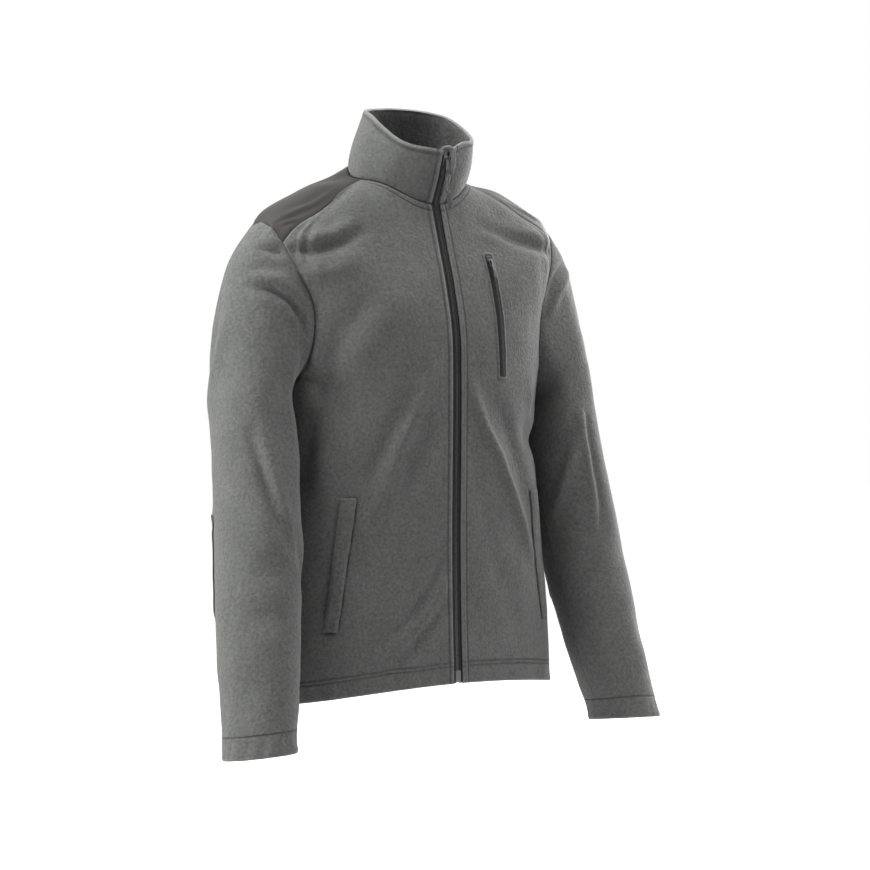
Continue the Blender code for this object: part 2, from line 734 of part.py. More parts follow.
def main_zip(front_outer, collar_outer):
    """The tapes, the closed chain and the bottom box; returns the frame that the slider sits in."""
    line = zip_line(front_outer, collar_outer)
    runs = runs_of(line)
    neck = runs[len(front_outer) - 1]
    top = runs[-1] - 0.004
    slider_run = neck + (runs[-1] - neck) * SLIDER_SHARE
    clear = SEAM_GAP

    wide = [BOX_LENGTH + 3 * clear] + [run for run in runs if BOX_LENGTH + 0.002 < run < neck - 0.006]
    slim = [neck - 0.001] + [run for run in runs if neck + 0.001 < run < top - 0.001] + [top]
    tape_rows = [(0.001, BOX_HALF_WIDTH + clear, TAPE_REACH)]
    tape_rows.append((BOX_LENGTH + clear, BOX_HALF_WIDTH + clear, TAPE_REACH))
    tape_rows += [(run, CHAIN_HALF_WIDTH + clear, TAPE_REACH) for run in wide + [neck - 0.005]]
    tape_rows += [(run, CHAIN_HALF_WIDTH + clear, ZIP_HALF_SLOT - clear) for run in slim]

    def depths(run):
        hem_left = min(1.0, max(0.0, (runs[2] - run) / (runs[2] - runs[1])))
        face = FLEECE + (HEM_WALL - FLEECE) * hem_left + TAPE_CLEAR
        return face, face + TAPE_THICK

    for name, side in (("zip_tape_right", -1), ("zip_tape_left", 1)):
        sections = [zip_section(line, run, near, far, depths(run), side) for run, near, far in tape_rows]
        strip(name, sections, "zip_cloth")

    chain_runs = [BOX_LENGTH + clear] + [r for r in runs if BOX_LENGTH + 0.002 < r < slider_run - 0.004]
    chain_runs.append(slider_run + 0.0025)
    strip(
        "zip_chain",
        [middle_section(line, run, CHAIN_HALF_WIDTH, CHAIN_DEPTH) for run in chain_runs],
        "zip_plastic",
    )
    box_depth = (CHAIN_DEPTH[0] - 0.0006, CHAIN_DEPTH[1] + 0.0006)
    strip(
        "zip_box",
        [middle_section(line, run, BOX_HALF_WIDTH, box_depth) for run in (0.0015, BOX_LENGTH)],
        "zip_plastic",
    )
    edge, _, up = at_run(line, slider_run)
    out = Vector((0, up.z, -up.y)).normalized()
    if out.y > 0:
        out = -out
    return Vector((0, edge.y, edge.z)), up, out


def fitted(centre, up, out):
    """The matrix of a frame with its X across, its Y up along a zip and its Z out of the cloth."""
    across = up.cross(out).normalized()
    turned = Matrix((across, up, out)).transposed().to_4x4()
    return Matrix.Translation(centre) @ turned


def box_mesh(low, high, bevel=0.0):
    """A box between two corners, its edges rounded by a bevel."""
    mesh = bmesh.new()
    bmesh.ops.create_cube(mesh, size=1)
    low, high = Vector(low), Vector(high)
    for corner in mesh.verts:
        corner.co = [low[i] + (high[i] - low[i]) * (corner.co[i] + 0.5) for i in range(3)]
    if bevel:
        bmesh.ops.bevel(mesh, geom=mesh.edges[:], offset=bevel, segments=1, affect="EDGES")
    return mesh


def rod_mesh(radius, start, end, sides=12):
    """A round rod between two points."""
    mesh = bmesh.new()
    start, end = Vector(start), Vector(end)
    turned = (end - start).to_track_quat("Z", "Y").to_matrix().to_4x4()
    bmesh.ops.create_cone(
        mesh, cap_ends=True, segments=sides, radius1=radius, radius2=radius,
        depth=(end - start).length, matrix=Matrix.Translation((start + end) / 2) @ turned,
    )
    return mesh


def joined(name, shapes, material, location=(0, 0, 0), cutters=()):
    """One solid: the union of overlapping shapes, less any cutters."""
    whole = new_object(name, shapes[0], material, location)
    others = [(shape, "UNION") for shape in shapes[1:]] + [(shape, "DIFFERENCE") for shape in cutters]
    for i, (shape, operation) in enumerate(others):
        other = new_object(f"{name}_shape_{i}", shape, material, location)
        other.hide_render = True
        other.display_type = "WIRE"
        cut = whole.modifiers.new(f"shape_{i}", "BOOLEAN")
        cut.operation = operation
        cut.object = other
        cut.solver = "EXACT"
    return whole


def moved(mesh, matrix):
    """The same shape, carried by a matrix."""
    bmesh.ops.transform(mesh, matrix=matrix, verts=mesh.verts)
    return mesh


# A slider's sizes: half width, half length, plate thickness, lugs, pin and the pull's eye round it
MAIN_SLIDER = {
    "half_width": 0.0042, "half_length": 0.0065, "plate": 0.0015, "lug_inner": 0.0019,
    "lug_outer": 0.0029, "pin_radius": 0.0007, "eye_inner": 0.0011, "eye_outer": 0.0020,
}
CHEST_SLIDER = {
    "half_width": 0.0034, "half_length": 0.0052, "plate": 0.0011, "lug_inner": 0.0014,
    "lug_outer": 0.0022, "pin_radius": 0.0005, "eye_inner": 0.0009, "eye_outer": 0.0015,
}


def slider(name, frame, sizes, plate_foot, back_plate=None):
    """A slider on its zip; plate_foot is how far out of the cloth its plate starts. Returns its pin."""
    half, length = sizes["half_width"], sizes["half_length"]
    plate_top = plate_foot + sizes["plate"]
    pin_out = plate_top + 0.00035 + sizes["eye_outer"]
    pin_up = length * 0.25
    lug_top = pin_out + sizes["pin_radius"] + 0.0003
    shapes = [box_mesh((-half, -length, plate_foot), (half, length, plate_top), 0.0004)]
    for side in (-1, 1):
        ends = sorted((side * sizes["lug_inner"], side * sizes["lug_outer"]))
        reach = sizes["pin_radius"] + 0.0008
        low = (ends[0], pin_up - reach, plate_top - 0.0004)
        shapes.append(box_mesh(low, (ends[1], pin_up + reach, lug_top)))
    middle = (sizes["lug_inner"] + sizes["lug_outer"]) / 2
    shapes.append(rod_mesh(sizes["pin_radius"], (-middle, pin_up, pin_out), (middle, pin_up, pin_out)))
    if back_plate:
        post = (half * 0.26, length * 0.42, length * 0.88)
        foot = plate_foot + sizes["plate"] / 2
        shapes.append(box_mesh((-post[0], post[1], back_plate[1] + 0.0004), (post[0], post[2], foot)))
        shapes.append(box_mesh((-half, -length, back_plate[1]), (half, length, back_plate[0]), 0.0003))
    joined(name, [moved(shape, frame) for shape in shapes], "metal")
    return frame @ Vector((0, pin_up, pin_out))


def eye_shapes(sizes):
    """(the pull's eye, the hole through it), round a pin along X at the origin."""
    half = sizes["lug_inner"] - 0.0004
    eye = rod_mesh(sizes["eye_outer"], (-half, 0, 0), (half, 0, 0), 16)
    hole = rod_mesh(sizes["eye_inner"], (-half * 2, 0, 0), (half * 2, 0, 0), 16)
    return eye, hole


def main_pull(pin):
    """The main zip's pull, hanging plumb: eye, metal strap, cord and tab."""
    eye, hole = eye_shapes(MAIN_SLIDER)
    strap = box_mesh((-0.0015, -0.0006, -0.0150), (0.0015, 0.0006, -0.0015), 0.0002)
    cord = rod_mesh(0.0011, (0, 0, -0.0140), (0, 0, -0.0360), 10)
    tab = box_mesh((-0.0030, -0.0012, -0.0620), (0.0030, 0.0012, -0.0350), 0.0007)
    joined("zip_pull", [eye, strap, cord, tab], "metal", pin, [hole])


def chest_pull(pin, frame):
    """The chest zip's pull, which lies down along the zip."""
    eye, hole = eye_shapes(CHEST_SLIDER)
    strap = box_mesh((-0.0011, -0.0045, -0.0005), (0.0011, -0.0011, 0.0005), 0.0001)
    tab = box_mesh((-0.0021, -0.0230, -0.0006), (0.0021, -0.0040, 0.0006), 0.0004)
    turned = frame.to_3x3().to_4x4()
    shapes = [moved(shape, turned) for shape in (eye, strap, tab)]
    joined("chest_zip_pull", shapes, "metal", pin, [moved(hole, turned)])


def find_place(x, z):
    """The (angle, share) of the front's point at this x and z."""
    neck, armpit, hem = (BODY[i]["z_front"] for i in (0, 4, -1))
    if z > armpit:
        share = ARMPIT_SHARE * (z - neck) / (armpit - neck)
    else:
        share = ARMPIT_SHARE + (1 - ARMPIT_SHARE) * (z - armpit) / (hem - armpit)
    turn = math.asin(min(0.9, abs(x) / between(BODY, share)["half_width"]))
    step = 1e-4
    for _ in range(20):
        here = smooth_body(turn, share)
        by_turn = (smooth_body(turn + step, share) - here) / step
        by_share = (smooth_body(turn, share + step) - here) / step
        miss_x, miss_z = abs(x) - here.x, z - here.z
        whole = by_turn.x * by_share.z - by_share.x * by_turn.z
        turn += (miss_x * by_share.z - by_share.x * miss_z) / whole
        share += (by_turn.x * miss_z - miss_x * by_turn.z) / whole
    return math.copysign(turn, x), share


def laid_strip(name, left, right, low, high, cells, material):
    """A strip on a front between two lines of places, lying between two heights off the cloth."""
    sections = []
    for i in range(cells + 1):
        t = i / cells
        edges = [(a[0] + (b[0] - a[0]) * t, a[1] + (b[1] - a[1]) * t) for a, b in (left, right)]
        placed = [on_body(*find_place(*edge)) for edge in edges]
        middle = on_body(*find_place(*((edges[0][i] + edges[1][i]) / 2 for i in (0, 1))))
        placed.insert(1, middle)
        section = [point + out * high for point, out in placed]
        section += [point + out * low for point, out in reversed(placed)]
        sections.append(section)
    return strip(name, sections, material)


def chest_zip():
    """The chest pocket's zip, laid on the left front, with its slider at the top."""
    (top_x, top_z), (end_x, end_z) = CHEST_ZIP
    tape = (LIFT, LIFT + 0.0008)
    chain = (tape[1] + SEAM_GAP, tape[1] + SEAM_GAP + 0.0013)

    def lines(half, shorter):
        slope = (end_x - top_x) / (end_z - top_z)
        ends = [(top_x - slope * shorter, top_z - shorter), (end_x + slope * shorter, end_z + shorter)]
        return [tuple((x + side * half, z) for x, z in ends) for side in (-1, 1)]

    laid_strip("chest_zip_tape", *lines(CHEST_TAPE_HALF_WIDTH, 0.0), *tape, CHEST_CELLS, "zip_cloth")
    laid_strip("chest_zip_chain", *lines(0.0022, 0.004), *chain, CHEST_CELLS, "zip_plastic")

    down = Vector((end_x - top_x, 0, end_z - top_z)).normalized()
    middle = (top_x + down.x * 0.010, top_z + down.z * 0.010)
    below = (top_x + down.x * 0.030, top_z + down.z * 0.030)
    centre, out = on_body(*find_place(*middle))
    lower, _ = on_body(*find_place(*below))
    up = (centre - lower).normalized()
    out = (out - up * out.dot(up)).normalized()
    frame = fitted(centre, up, out)
    pin = slider("chest_zip_slider", frame, CHEST_SLIDER, chain[1] + SEAM_GAP)
    chest_pull(pin, frame)
    return pin, frame


def welts():
    """The hand pockets' welts, slanting down to the sides."""
    for name, side in (("pocket_welt_right", -1), ("pocket_welt_left", 1)):
        top, bottom = ([(side * x, z) for x, z in pair] for pair in WELT)
        near, far = zip(top, bottom)
        laid_strip(name, near, far, LIFT, LIFT + WELT_THICK, WELT_CELLS, "fleece")


def make_materials():
    """A material for each kind of cloth, plastic and metal."""
    made = {}
    for name, colour in COLOURS.items():
        material = bpy.data.materials.new(name)
        material.use_nodes = True
        shader = material.node_tree.nodes["Principled BSDF"]
        shader.inputs["Base Color"].default_value = colour
        shader.inputs["Roughness"].default_value = ROUGHNESS[name]
        shader.inputs["Metallic"].default_value = 0.9 if name == "metal" else 0.0
        made[name] = material
    return made


for leftover in list(bpy.data.objects):
    bpy.data.objects.remove(leftover, do_unlink=True)

MATERIALS = make_materials()
SEAMS = seams()
RIGHT_SEAMS = {name: mirrored(places) for name, places in SEAMS.items()}

FRONT_SEWN = ("top", "right")
left_front, _ = body_piece("front_left", front_grid(SEAMS), "fleece", FRONT_SEWN, True)
body_piece("front_right", front_grid(RIGHT_SEAMS), "fleece", FRONT_SEWN, True)
body_piece("back", back_grid(SEAMS), "fleece", ("top", "left", "right"), True)
ALL_EDGES = ("bottom", "top", "left", "right")
body_piece("shoulder_patch_left", patch_grid(SEAMS), "woven", ALL_EDGES, False)
body_piece("shoulder_patch_right", patch_grid(RIGHT_SEAMS), "woven", ALL_EDGES, False)

for side_name, side_sign in (("left", 1), ("right", -1)):
    sleeve_rows, sleeve_outward = sleeve(f"sleeve_{side_name}", side_sign, SEAMS)
    elbow_patch(f"elbow_patch_{side_name}", sleeve_rows, sleeve_outward)

collar_rows, _ = collar(SEAMS)
slider_place = main_zip(left_front, collar_rows)
main_pin = slider("zip_slider", fitted(*slider_place), MAIN_SLIDER, -0.0009, (-0.0037, -0.0049))
main_pull(main_pin)
chest_zip()
welts()
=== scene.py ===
# %% [markdown]
# # A zip-front fleece jacket
#
# The jacket is shown as it looks when it is worn, but with no wearer inside: a hollow body, two
# sleeves and a stand-up collar. Fleece is a knitted cloth with a soft, brushed face. It has no
# weave to see, it hangs in wide soft folds, and its cut edges look thick and rounded.
#
# The CAD model fixes every size and place. Here each piece of cloth is made again on its own CAD
# solid, smoother and with its finer folds, and the zips, stitches and finishes are added.

# %% The frame that everything is built on
import json
import math

import bmesh
import bpy
import numpy as np
from mathutils import Matrix, Vector, noise as solid_noise
from mathutils.bvhtree import BVHTree
from mathutils.kdtree import KDTree

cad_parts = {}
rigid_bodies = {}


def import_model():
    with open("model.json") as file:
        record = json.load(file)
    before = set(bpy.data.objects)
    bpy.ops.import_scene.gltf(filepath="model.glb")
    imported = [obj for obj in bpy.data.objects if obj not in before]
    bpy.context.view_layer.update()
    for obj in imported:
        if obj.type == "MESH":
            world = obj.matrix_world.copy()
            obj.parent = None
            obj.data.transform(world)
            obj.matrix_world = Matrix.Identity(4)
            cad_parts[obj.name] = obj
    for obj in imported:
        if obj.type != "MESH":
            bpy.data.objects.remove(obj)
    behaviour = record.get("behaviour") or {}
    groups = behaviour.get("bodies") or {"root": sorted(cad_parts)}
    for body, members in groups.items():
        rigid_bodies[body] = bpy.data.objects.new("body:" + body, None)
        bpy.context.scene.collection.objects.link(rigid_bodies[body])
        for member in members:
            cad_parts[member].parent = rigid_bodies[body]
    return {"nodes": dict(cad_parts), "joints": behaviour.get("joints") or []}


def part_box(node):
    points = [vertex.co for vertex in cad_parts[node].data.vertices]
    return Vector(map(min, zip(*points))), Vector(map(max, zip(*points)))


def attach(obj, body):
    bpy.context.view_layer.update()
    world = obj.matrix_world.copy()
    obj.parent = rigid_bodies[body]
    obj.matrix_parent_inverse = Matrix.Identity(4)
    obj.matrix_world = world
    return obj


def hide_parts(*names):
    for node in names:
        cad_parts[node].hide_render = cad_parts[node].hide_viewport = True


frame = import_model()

NODES = frame["nodes"]
JOINTS = {joint["name"]: joint for joint in frame["joints"]}
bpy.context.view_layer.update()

# %% [markdown]
# ## The camera
#
# It stands a little below the chest's height, ahead of the jacket and round to the wearer's
# right, far off with a long lens, so that near and far sleeve come out at almost the same scale.

# %% Camera
AIM = Vector((0.037, -0.026, -0.35))
CAMERA_TURN = math.radians(-35)
CAMERA_REACH = 3.6
CAMERA_HEIGHT = -0.20

camera = bpy.data.objects.new("camera", bpy.data.cameras.new("camera"))
camera.data.lens = 112
camera.data.sensor_width = 36
camera.location = AIM + CAMERA_REACH * Vector((math.sin(CAMERA_TURN), -math.cos(CAMERA_TURN), 0))
camera.location.z = CAMERA_HEIGHT
camera.rotation_euler = (AIM - camera.location).to_track_quat("-Z", "Y").to_euler()
bpy.context.scene.collection.objects.link(camera)
bpy.context.scene.camera = camera
bpy.context.scene.view_settings.view_transform = "Standard"
print("camera at", tuple(round(v, 3) for v in camera.location))

# %% [markdown]
# ## Helpers for shader nodes
#
# The same few nodes are wired again and again, so these short helpers add a node, set its sockets
# and give back its output. A value that is another node's output is linked instead of set.

# %% Shader node helpers
def put(socket, value):
    """Sets an input socket, or links it if the value is another node's output."""
    if isinstance(value, bpy.types.NodeSocket):
        socket.id_data.links.new(value, socket)
    else:
        socket.default_value = value


def maths(tree, operation, *values, clamp=False):
    """A Math node; returns its output."""
    node = tree.nodes.new("ShaderNodeMath")
    node.operation = operation
    node.use_clamp = clamp
    for socket, value in zip(node.inputs, values):
        put(socket, value)
    return node.outputs[0]


def noise(tree, place, scale, detail=2.0, rough=0.5, stretch=(1, 1, 1)):
    """A noise of place, stretched along the axes; returns its factor."""
    node = tree.nodes.new("ShaderNodeTexNoise")
    mapping = tree.nodes.new("ShaderNodeMapping")
    put(mapping.inputs["Vector"], place)
    mapping.inputs["Scale"].default_value = stretch
    put(node.inputs["Vector"], mapping.outputs[0])
    put(node.inputs["Scale"], scale)
    node.inputs["Detail"].default_value = detail
    node.inputs["Roughness"].default_value = rough
    return node.outputs["Fac"]


def mix(tree, share, a, b):
    """The colour that is `share` of the way from a to b."""
    node = tree.nodes.new("ShaderNodeMix")
    node.data_type = "RGBA"
    put(node.inputs["Factor"], share)
    put(node.inputs["A"], a)
    put(node.inputs["B"], b)
    return node.outputs["Result"]


def between_values(tree, value, low, high, to_low=0.0, to_high=1.0):
    """A smooth change from to_low to to_high as the value goes from low to high."""
    node = tree.nodes.new("ShaderNodeMapRange")
    node.interpolation_type = "SMOOTHSTEP"
    for name, number in (("Value", value), ("From Min", low), ("From Max", high)):
        put(node.inputs[name], number)
    node.inputs["To Min"].default_value = to_low
    node.inputs["To Max"].default_value = to_high
    return node.outputs["Result"]


def attribute(tree, name):
    """The number that the mesh keeps at each point under this name."""
    node = tree.nodes.new("ShaderNodeAttribute")
    node.attribute_name = name
    return node.outputs["Fac"]


def object_place(tree):
    """The place on the object, in its own metres."""
    return tree.nodes.new("ShaderNodeTexCoord").outputs["Object"]


def group(name, inputs, outputs):
    """An empty node group: its tree, its inner input sockets and its inner output sockets."""
    tree = bpy.data.node_groups.new(name, "ShaderNodeTree")
    for title, kind, default in inputs:
        socket = tree.interface.new_socket(title, in_out="INPUT", socket_type=kind)
        socket.default_value = default
    for title, kind in outputs:
        tree.interface.new_socket(title, in_out="OUTPUT", socket_type=kind)
    return tree, tree.nodes.new("NodeGroupInput").outputs, tree.nodes.new("NodeGroupOutput").inputs


def placed_group(tree, name, **values):
    """A node group in this tree with its inputs set; returns its outputs."""
    node = tree.nodes.new("ShaderNodeGroup")
    node.node_tree = bpy.data.node_groups[name]
    for title, value in values.items():
        put(node.inputs[title.replace("_", " ")], value)
    return node.outputs


def new_material(name):
    """A material with a Principled BSDF; returns the material, its tree and that shader."""
    material = bpy.data.materials.new(name)
    material.use_nodes = True
    return material, material.node_tree, material.node_tree.nodes["Principled BSDF"]


def bumped(tree, shader, height):
    """Bends the shading as if the surface stood out by this height in metres."""
    bump = tree.nodes.new("ShaderNodeBump")
    bump.inputs["Strength"].default_value = 1.0
    bump.inputs["Distance"].default_value = 1.0
    put(bump.inputs["Height"], height)
    put(shader.inputs["Normal"], bump.outputs[0])


NUMBER = "NodeSocketFloat"
COLOUR = "NodeSocketColor"
PLACE = "NodeSocketVector"
print("node helpers ready")

# %% [markdown]
# ## The nap of brushed fleece
#
# Brushed fleece is a felt of fine curled fibres. Close to, it is a fog of small tufts 2 to 4 mm
# across; further off there are faint cloudy patches where the pile lies one way or the other.
# Three noises of falling size give the colour its flecks and the bump its tufts. It is a group,
# because the fleece of the body, its edges and the pocket welts all use it with other values.

# %% Node group: nap
tree, given, out = group(
    "nap",
    [("Place", PLACE, (0, 0, 0)), ("Colour", COLOUR, (0.1, 0.1, 0.1, 1)), ("Fleck", NUMBER, 0.1),
     ("Tuft Height", NUMBER, 0.0003)],
    [("Colour", COLOUR), ("Height", NUMBER)],
)
fine = noise(tree, given["Place"], 620, 3.0, 0.6)
tuft = noise(tree, given["Place"], 230, 2.0, 0.55)
cloud = noise(tree, given["Place"], 34, 3.0, 0.5, (1, 1, 0.6))
light = maths(tree, "MULTIPLY_ADD", maths(tree, "SUBTRACT", fine, 0.5), 1.5, 0.0)
light = maths(tree, "MULTIPLY_ADD", maths(tree, "SUBTRACT", tuft, 0.5), 1.6, light)
light = maths(tree, "MULTIPLY_ADD", maths(tree, "SUBTRACT", cloud, 0.5), 0.55, light)
light = maths(tree, "MULTIPLY_ADD", light, given["Fleck"], 1.0)
shade = tree.nodes.new("ShaderNodeVectorMath")
shade.operation = "SCALE"
put(shade.inputs[0], given["Colour"])
put(shade.inputs["Scale"], light)
put(out["Colour"], shade.outputs[0])
height = maths(tree, "MULTIPLY_ADD", tuft, 0.7, maths(tree, "MULTIPLY", fine, 0.3))
put(out["Height"], maths(tree, "MULTIPLY", height, given["Tuft Height"]))
print("nap group:", [socket.name for socket in out if socket.name])

# %% [markdown]
# ## A line of topstitching
#
# Sewing through two layers of fleece pulls a soft channel into it. Each piece of cloth carries the distance
# from its points to its edges as attributes, so a channel at a set distance is a small bell curve of that
# distance. The group gives the height of the channel, below zero, in metres, and the bell itself as a mask,
# which the fleece uses for painted shade in the channel.

# %% Node group: channel
tree, given, out = group(
    "channel",
    [("Distance", NUMBER, 1.0), ("At", NUMBER, 0.009), ("Half Width", NUMBER, 0.001),
     ("Depth", NUMBER, 0.0005)],
    [("Height", NUMBER), ("Mask", NUMBER)],
)
aside = maths(tree, "DIVIDE", maths(tree, "SUBTRACT", given["Distance"], given["At"]), given["Half Width"])
bell = maths(tree, "EXPONENT", maths(tree, "MULTIPLY", maths(tree, "MULTIPLY", aside, aside), -1.0))
put(out["Mask"], bell)
put(out["Height"], maths(tree, "MULTIPLY", maths(tree, "MULTIPLY", bell, given["Depth"]), -1.0))
print("channel group ready")

# %% [markdown]
# ## Plain weave
#
# The shoulder and elbow patches are a dense plain weave, and the zip tapes are a fine one. Warp
# and weft cross over and under: where the sine of one direction is high, the other's is low.

# %% Node group: weave
tree, given, out = group(
    "weave",
    [("Place", PLACE, (0, 0, 0)), ("Pitch", NUMBER, 0.0008), ("Depth", NUMBER, 0.0001)],
    [("Height", NUMBER), ("Mask", NUMBER)],
)
split = tree.nodes.new("ShaderNodeSeparateXYZ")
put(split.inputs[0], given["Place"])
around = maths(tree, "ADD", split.outputs["X"], split.outputs["Y"])
turns = maths(tree, "DIVIDE", math.pi, given["Pitch"])
warp = maths(tree, "SINE", maths(tree, "MULTIPLY", around, turns))
weft = maths(tree, "SINE", maths(tree, "MULTIPLY", split.outputs["Z"], turns))
crossing = maths(tree, "MULTIPLY", warp, weft)
put(out["Mask"], between_values(tree, crossing, -0.6, 0.6))
put(out["Height"], maths(tree, "MULTIPLY", maths(tree, "ABSOLUTE", crossing), given["Depth"]))
print("weave group ready")

# %% [markdown]
# ## The fleece
#
# A mid grey with the faintest green in it. Sheen lightens it where it turns away from the eye, as loose
# fibres do. Turned and rolled edges get a painted highlight, so they come out a little paler; the stitched
# channels, seams and pocket mouths get painted shade, and so does the inside of the collar, so they come out
# darker.

# %% Material: fleece
FLEECE_COLOUR = (0.118, 0.121, 0.117, 1.0)
FLEECE_PAINTED_HIGHLIGHT = (0.235, 0.240, 0.235, 1.0)
FLEECE_PAINTED_SHADE = (0.040, 0.041, 0.040, 1.0)


def fleece_material(name, channels, pale=0.42, roll=0.0045):
    """Fleece with stitched channels, each (attribute, distance, half width, depth); `pale` is the share of
    painted highlight at a turned edge, fading out over `roll` metres.
    """
    material, tree, shader = new_material(name)
    nap = placed_group(tree, "nap", Place=object_place(tree), Colour=FLEECE_COLOUR, Fleck=0.55,
                       Tuft_Height=0.0018)
    shown, height = nap["Colour"], nap["Height"]
    edge = attribute(tree, "to_edge")
    # painted highlight: turned edges are paler, fading out over `roll` from the edge
    edge_highlight_share = between_values(tree, edge, 0.0, roll, pale, 0.0)
    shown = mix(tree, edge_highlight_share, shown, FLEECE_PAINTED_HIGHLIGHT)
    # painted shade on the collar's inner face, away from its rim
    shown = mix(tree, maths(tree, "MULTIPLY", attribute(tree, "inside"), 0.20), shown, FLEECE_PAINTED_SHADE)
    for source, at, half_width, depth in channels:
        channel = placed_group(tree, "channel", Distance=attribute(tree, source), At=at,
                               Half_Width=half_width, Depth=depth)
        height = maths(tree, "ADD", height, channel["Height"])
        # painted shade along each channel: the stitching, the seams and the pocket mouth
        shown = mix(tree, maths(tree, "MULTIPLY", channel["Mask"], 0.36), shown, FLEECE_PAINTED_SHADE)
    put(shader.inputs["Base Color"], shown)
    bumped(tree, shader, height)
    shader.inputs["Roughness"].default_value = 0.95
    shader.inputs["Specular IOR Level"].default_value = 0.12
    shader.inputs["Sheen Weight"].default_value = 0.20
    shader.inputs["Sheen Roughness"].default_value = 0.42
    return material


# how far from its edge each line of stitches runs, in metres
HEM_LINES = (0.0225, 0.0275)
CUFF_LINE = 0.0285
ZIP_LINE = 0.0078
COLLAR_RIM_LINE = 0.0070
COLLAR_ZIP_LINE = 0.0075

FLEECE = fleece_material("fleece_body", [
    ("to_zip", ZIP_LINE, 0.0017, 0.0016),
    ("to_hem", HEM_LINES[0], 0.0012, 0.0013),
    ("to_hem", HEM_LINES[1], 0.0012, 0.0013),
    ("neck_line", 1.0, 0.17, 0.0016),
    ("to_mouth", 0.0, 0.0016, 0.0016),
    ("to_seam", 0.0, 0.0011, 0.0006),
])
FLEECE_SLEEVE = fleece_material("fleece_sleeve", [
    ("to_hem", CUFF_LINE, 0.0012, 0.0015),
    ("to_underarm", 0.0, 0.0012, 0.0013),
    ("to_seam", 0.0, 0.0011, 0.0006),
])
FLEECE_COLLAR = fleece_material("fleece_collar", [
    ("to_rim", COLLAR_RIM_LINE, 0.0019, 0.0018),
    ("to_zip", COLLAR_ZIP_LINE, 0.0016, 0.0015),
], pale=0.75, roll=0.0065)
FLEECE_TRIM = fleece_material("fleece_trim", [], pale=0.20, roll=0.0030)
print("fleece materials ready")

# %% [markdown]
# ## The woven patches
#
# The shoulders and elbows wear first, so they are faced with a smooth, hard-wearing woven cloth.
# It is a warm charcoal, duller and flatter than the fleece, with a slight sheen along its creases.

# %% Material: woven patches
def woven_material(name, colour, pitch, depth, gloss=0.62):
    """Plain weave, its threads `pitch` apart; `gloss` is its roughness."""
    material, tree, shader = new_material(name)
    place = object_place(tree)
    weave = placed_group(tree, "weave", Place=place, Pitch=pitch, Depth=depth)
    light = mix(tree, between_values(tree, noise(tree, place, 30, 3.0), 0.3, 0.7), colour,
                tuple(v * 1.16 for v in colour[:3]) + (1,))
    dark = tuple(v * 0.72 for v in colour[:3]) + (1,)
    put(shader.inputs["Base Color"], mix(tree, weave["Mask"], dark, light))
    bumped(tree, shader, weave["Height"])
    shader.inputs["Roughness"].default_value = gloss
    shader.inputs["Specular IOR Level"].default_value = 0.25
    shader.inputs["Sheen Weight"].default_value = 0.06
    return material


WOVEN = woven_material("woven_patch", (0.025, 0.0235, 0.0225, 1.0), 0.00034, 0.00003)
TAPE = woven_material("zip_tape_weave", (0.0075, 0.0072, 0.0080, 1.0), 0.0003, 0.00004)
print("woven materials ready")

# %% [markdown]
# ## Plastic, metal and thread
#
# The zip's coil is nylon, its slider and bottom box are dark lacquered metal with bright worn
# edges, and the sewing thread is a fine dark polyester with a slight gloss.

# %% Materials: hard parts and thread
def hard_material(name, colour, roughness, metallic, grain):
    """Plastic, metal or thread with fine spots; `grain` is their height."""
    material, tree, shader = new_material(name)
    place = object_place(tree)
    spots = noise(tree, place, 900, 2.0)
    pale = tuple(min(1.0, v * 1.5 + 0.004) for v in colour[:3]) + (1,)
    put(shader.inputs["Base Color"], mix(tree, between_values(tree, spots, 0.35, 0.75), colour, pale))
    put(shader.inputs["Roughness"], between_values(tree, noise(tree, place, 260, 2.0), 0.2, 0.8,
                                                   roughness - 0.08, roughness + 0.10))
    bumped(tree, shader, maths(tree, "MULTIPLY", spots, grain))
    shader.inputs["Metallic"].default_value = metallic
    return material


COIL = hard_material("zip_coil", (0.020, 0.020, 0.022, 1.0), 0.50, 0.0, 0.00002)
FINE_COIL = hard_material("chest_zip_coil", (0.009, 0.009, 0.010, 1.0), 0.72, 0.0, 0.00002)
LACQUER = hard_material("slider_metal", (0.085, 0.085, 0.088, 1.0), 0.34, 0.85, 0.00001)
STEEL = hard_material("puller_steel", (0.085, 0.085, 0.088, 1.0), 0.40, 1.0, 0.00001)
RUBBER = hard_material("pull_tab", (0.030, 0.030, 0.032, 1.0), 0.48, 0.0, 0.00003)
THREAD = hard_material("thread", (0.060, 0.061, 0.060, 1.0), 0.60, 0.0, 0.00001)
print("materials in all:", len(bpy.data.materials))

# %% [markdown]
# ## Taking the face of a piece of cloth from its solid
#
# Each CAD solid of cloth is a thin wall: an outer face, an inner face and a narrow rim. Only the
# outer face is wanted here. With the rim's narrow triangles gone the two faces fall apart, and
# the outer one is the larger. Its triangles are joined back into the four-sided cells that the
# panel was drawn in, because subdivision needs quads to come out smooth.

# %% The outer face of a CAD solid, in quads
def select_none():
    """Deselects every object."""
    for item in bpy.context.selected_objects:
        item.select_set(False)


def make_active(piece):
    """Selects this object alone, for the operators that follow."""
    select_none()
    piece.select_set(True)
    bpy.context.view_layer.objects.active = piece


def connected_parts(mesh_faces):
    """Groups of faces that hang together by their edges."""
    left, parts = set(mesh_faces), []
    while left:
        part, queue = set(), [left.pop()]
        while queue:
            face = queue.pop()
            part.add(face)
            for edge in face.edges:
                for other in edge.link_faces:
                    if other in left:
                        left.remove(other)
                        queue.append(other)
        parts.append(part)
    return parts


